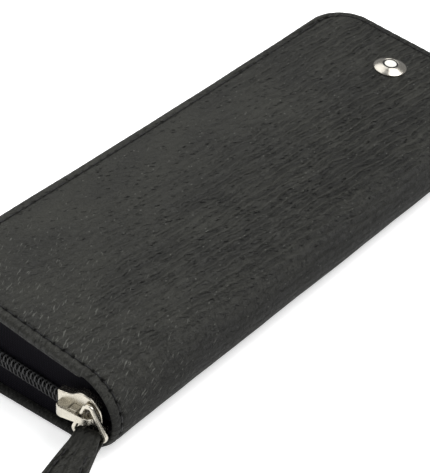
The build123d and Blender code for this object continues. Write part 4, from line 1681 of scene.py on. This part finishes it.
class Stud:
    """Polished stud near the far end of the upper cover, with a plain round inlay.

    The profiles are pairs of radius and height above the cover, in millimetres.
    """

    from_spine = 20.2
    from_end = 16.5
    segments = 96
    cap = ((0.3, 0.0), (4.6, 0.0), (4.93, 0.08), (5.0, 0.22), (4.98, 0.36), (4.88, 0.46), (4.3, 0.72),
           (3.2, 1.19), (2.62, 1.43), (2.48, 1.46), (2.38, 1.42), (2.34, 1.3), (2.34, 1.05), (0.3, 1.05))
    seat = ((0.3, 1.04), (2.3, 1.04), (2.3, 1.34), (2.2, 1.38), (1.85, 1.38), (0.3, 1.38))
    disc = ((0.02, 1.3), (1.72, 1.3), (1.78, 1.4), (1.72, 1.46), (1.2, 1.49), (0.02, 1.51))

    def __init__(self, materials: Materials) -> None:
        """Works out the frame on the upper cover's face."""
        self.materials = materials
        wedge = math.radians(FORM.wedge_deg)
        run = (-self.from_spine - FORM.radius * math.sin(wedge)) / math.cos(wedge)
        self.frame = (moved(FORM.spine_x, 0, FORM.radius) @ turned("Y", FORM.wedge_deg)
                      @ moved(run, FORM.half - self.from_end, FORM.radius))

    def turned_piece(self, name: str, profile: Sequence[tuple], material: bpy.types.Material,
                     instead_of: Sequence[str] = ()) -> None:
        """Turns a profile of radius and height about the stud's axis."""
        radius, height = np.array(profile).T[..., None]
        angle = np.linspace(0, 2 * math.pi, self.segments, endpoint=False)
        rings = np.stack([radius * np.cos(angle), radius * np.sin(angle), height + 0 * angle], axis=-1)
        index = np.arange(rings.shape[0] * rings.shape[1]).reshape(rings.shape[:2])
        faces = [grid_faces(index, wrap=True), index[:1, ::-1], index[-1:]]
        piece = make_piece(name, transform(rings.reshape(-1, 3), self.frame), faces, sharp_deg=24)
        dress(piece, material, Body.LID, instead_of)

    def build(self) -> None:
        """Makes the cap with its seat, the dark ring in it and the pale disc."""
        # the stud's cap takes the darker copy of the nickel, a painted shade
        self.turned_piece("stud_head", self.cap, self.materials.stud_nickel, ["stud_cap"])
        self.turned_piece("stud_seat", self.seat, self.materials.resin, ["stud_inlay"])
        self.turned_piece("stud_disc", self.disc, self.materials.ivory)


# --- fittings inside ---


@dataclass(frozen=True)
class Pad:
    """Sewn-down pad on a cover's lining, in millimetres.

    Width and length are its size across and along the case, the middle is its place, and the
    puff is how much its face swells inside the stitches.
    """

    name: str
    node: str
    slot: Slot
    lid: bool
    width: float
    length: float
    middle_x: float
    middle_y: float
    thick: float
    puff: float
    corner: float = 3.6
    seam: float = 1.8
    pitch: float = 3.2

    @property
    def body(self) -> Body:
        """Body that the pad rides on."""
        return Body.LID if self.lid else Body.BASE

    def placed(self, s: np.ndarray, y: np.ndarray, z: np.ndarray) -> np.ndarray:
        """Points given flat on the pad, brought to its cover."""
        points = np.stack([self.middle_x - self.width / 2 + s, self.middle_y + y, z], axis=-1)
        return FORM.mirrored(points) if self.lid else points

    def build(self, material: bpy.types.Material, thread: bpy.types.Material) -> None:
        """Makes the pad and the stitches that hold it down."""
        sheet = RoundedSheet(self.width, self.length, self.corner, 1.2, even(self.thick), self.thick / 2.2,
                             (3.2, 2.6, 2.1, 1.8, 1.5, 1.2, 0.8), (1.2,), 0.5)
        flat = sheet.layout(self.seam)
        beside = flat.inset - self.seam
        swell = (self.puff * ease(beside / 3.0)
                 + 0.08 * ripple(flat.s, flat.y, 31, 24) * ease(flat.inset / 5))
        top = flat.depth < self.thick * 0.3
        face = FORM.hem + self.thick
        z = face - flat.depth + np.where(top, swell - 0.18 * bell(beside, 0.35), 0)
        piece = make_piece(self.name, self.placed(flat.s, flat.y, z), flat.faces,
                           np.stack([flat.s + 110, flat.y, 0 * flat.s], axis=-1))
        dress(piece, material, self.body, [self.node])
        here, ahead = (places.T for places in sheet.stitches(self.seam, self.pitch))
        level = np.full(here.shape[1], face - 0.14)
        foot = self.placed(*here, level)
        along = unit(self.placed(*ahead, level) - foot)
        up = unit(self.placed(*here, level + 1.0) - foot)
        points, faces, flat_places = capsules(foot, along, up, 2.4, 0.45, 0.36, 0.4)
        row = make_piece(f"{self.name}_stitches", points, faces, flat_places)
        dress(row, thread, self.body)


@dataclass(frozen=True)
class LoopSizes:
    """Sizes of an elastic band with two loops, in millimetres."""

    width: float = 9.0
    thick: float = 0.9
    radius: float = 7.45
    side: float = 7.7
    half_pitch: float = 9.25
    end: float = 18.4
    rib: float = 1.2


class Inside:
    """Pen holder on the lower cover and the slip pocket on the upper one."""

    strip = Pad("holder_strip", "pen_holder_base", Slot.LEATHER, False, 43.0, 150.0,
                FORM.edge_x + 8.0 + 43.0 / 2, 0.0, 0.9, 0.0)
    pocket = Pad("pocket_front", "slip_pocket", Slot.LINING, True, 38.0, 120.0,
                 FORM.edge_x + 9.5 + 38.0 / 2, 2.0, 1.1, 0.45)

    def __init__(self, sizes: LoopSizes, materials: Materials) -> None:
        """Keeps the sizes and the finishes."""
        self.sizes = sizes
        self.materials = materials

    def build(self) -> None:
        """Makes the strip, its stitches, the elastic loops and the pocket."""
        self.strip.build(self.materials.leather, self.materials.thread)
        self.build_loops("front_elastic_loops", "front_loops", 45.5 - FORM.half)
        self.build_loops("rear_elastic_loops", "rear_loops", FORM.half - 53.5)
        self.pocket.build(self.materials.lining, self.materials.thread)

    def loop_line(self) -> np.ndarray:
        """Middle line of the band across the case: flat, up and over each pen's place, flat."""
        z = self.sizes
        foot = ((0.35, 0.47), (0.05, 0.75), (0.0, 1.4), (0.0, 4.5))  # off the loop's side, and height
        line = [(-z.end, 0.45)]
        for middle in (-z.half_pitch, z.half_pitch):
            line += [(middle - z.radius - off, up) for off, up in foot]
            line += [(middle + z.radius * math.cos(a), z.side + z.radius * math.sin(a))
                     for a in np.linspace(math.pi, 0, 19)]
            line += [(middle + z.radius + off, up) for off, up in foot[::-1]]
        return np.array(line + [(z.end, 0.45)])

    def build_loops(self, node: str, name: str, y: float) -> None:
        """Elastic band raised into a loop over each pen's place, sewn down between them."""
        z = self.sizes
        line = self.loop_line()
        steps = np.concatenate([[0], np.cumsum(np.linalg.norm(np.diff(line, axis=0), axis=1))])
        walk = np.arange(0, steps[-1], 0.6)
        plan = np.column_stack([np.interp(walk, steps, line[:, k]) for k in (0, 1)])
        tangent = unit(np.gradient(plan, axis=0))
        floor = FORM.hem + self.strip.thick
        centre = np.column_stack([
            self.strip.middle_x + plan[:, 0], np.full(len(plan), y), floor + plan[:, 1]])
        up = np.column_stack([-tangent[:, 1], 0 * walk, tangent[:, 0]])
        across = np.tile([0.0, 1.0, 0.0], (len(plan), 1))
        points, faces, flat = strap(
            centre, across, up, np.full(len(plan), z.width), z.thick, 46,
            lambda side_way, to_edge: 0.05 * np.cos(2 * math.pi * side_way / z.rib))
        band = make_piece(name, points, faces, flat)
        dress(band, self.materials.elastic, Body.BASE, [node])


# --- small metal parts that keep their CAD form ---


def finish_small_parts(materials: Materials) -> None:
    """Gives the CAD nodes that are shown, or hidden inside, their materials."""
    kinds = {
        "lower_cover_board": materials.board, "upper_cover_board": materials.board,
        "stud_post": materials.nickel, "stud_washer": materials.nickel,
        "zip_bottom_stop": materials.nickel, "zip_top_stop": materials.nickel,
    }
    for name, material in kinds.items():
        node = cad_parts[name]
        node.data.materials.clear()
        node.data.materials.append(material)


# --- studio ---


@dataclass(frozen=True)
class CameraPlace:
    """Camera for the main view, in metres and degrees."""

    position: tuple = (0.24040, -0.30035, 0.28193)
    azimuth: float = 39.764
    elevation: float = 35.856
    roll: float = -0.491
    lens: float = 128.69

    def build(self) -> None:
        """Places the camera looking back along its azimuth and elevation."""
        a, e, r = (math.radians(v) for v in (self.azimuth, self.elevation, self.roll))
        back = Vector((math.sin(a) * math.cos(e), -math.cos(a) * math.cos(e), math.sin(e)))
        right = (-back).cross(Vector((0, 0, 1))).normalized()
        up = right.cross(-back).normalized()
        right, up = (right * math.cos(r) + up * math.sin(r), up * math.cos(r) - right * math.sin(r))
        data = bpy.data.cameras.new("main_camera")
        data.lens, data.sensor_width, data.sensor_fit = self.lens, 36.0, "AUTO"
        data.clip_start, data.clip_end = 0.01, 10.0
        camera = bpy.data.objects.new("main_camera", data)
        rotation = Matrix((right, up, back)).transposed().to_4x4()
        camera.matrix_world = Matrix.Translation(self.position) @ rotation
        bpy.context.scene.collection.objects.link(camera)
        bpy.context.scene.camera = camera


@dataclass(frozen=True)
class Lamp:
    """Soft rectangular light."""

    name: str
    place: tuple
    aim: tuple
    size: tuple
    power: float

    def build(self) -> None:
        """Places the light facing its aim."""
        data = bpy.data.lights.new(self.name, "AREA")
        data.shape, data.energy = "RECTANGLE", self.power
        data.size, data.size_y = self.size
        lamp = bpy.data.objects.new(self.name, data)
        lamp.location = self.place
        lamp.rotation_euler = (Vector(self.aim) - Vector(self.place)).to_track_quat("-Z", "Y").to_euler()
        bpy.context.scene.collection.objects.link(lamp)


class Studio:
    """White glowing floor, three soft lights and an even surround."""

    floor_half = 4.0
    floor_drop = 0.0002
    floor_glow = 0.5
    surround = 0.48

    def __init__(self, materials: Materials) -> None:
        """Keeps the finishes."""
        self.materials = materials

    def build(self) -> None:
        """Makes the floor, the lamps and the surrounding light."""
        mesh = bpy.data.meshes.new("floor")
        corners = [(x * self.floor_half, y * self.floor_half, -self.floor_drop)
                   for x, y in ((-1, -1), (1, -1), (1, 1), (-1, 1))]
        mesh.from_pydata(corners, [], [(0, 1, 2, 3)])
        floor = bpy.data.objects.new("floor", mesh)
        bpy.context.scene.collection.objects.link(floor)
        mesh.materials.append(self.materials.floor)
        glow = self.materials.floor.node_tree.nodes["Principled BSDF"].inputs
        glow["Emission Color"].default_value = linear("ffffff")
        glow["Emission Strength"].default_value = self.floor_glow
        for lamp in (
            Lamp("key_softbox", (-0.6, 0.1, 1.0), (0, 0, 0), (0.9, 0.9), 6.0),
            Lamp("top_softbox", (0.45, 0.35, 0.98), (0, 0, 0), (0.8, 0.8), 12.0),
            Lamp("front_softbox", (-0.6, -1.1, 0.6), (0, 0, 0.01), (0.8, 0.6), 3.0),
        ):
            lamp.build()
        world = bpy.data.worlds.new("studio")
        world.use_nodes = True
        surround = world.node_tree.nodes["Background"].inputs
        surround["Color"].default_value = linear("f6f7f8")
        surround["Strength"].default_value = self.surround
        scene = bpy.context.scene
        scene.world = world
        scene.view_settings.view_transform = "Standard"
        scene.view_settings.look = "None"


# --- the whole ---


def main() -> None:
    """Builds the camera, the dressed pieces and the studio."""
    CameraPlace().build()
    materials = Materials()
    LeatherWrap(WrapSizes(), materials).build()
    Linings(materials).build()
    Zip(ZipSizes(), materials).build()
    Slider(SliderSizes(), materials).build()
    Stud(materials).build()
    Inside(LoopSizes(), materials).build()
    finish_small_parts(materials)
    Studio(materials).build()


if __name__ == "__main__":
    main()
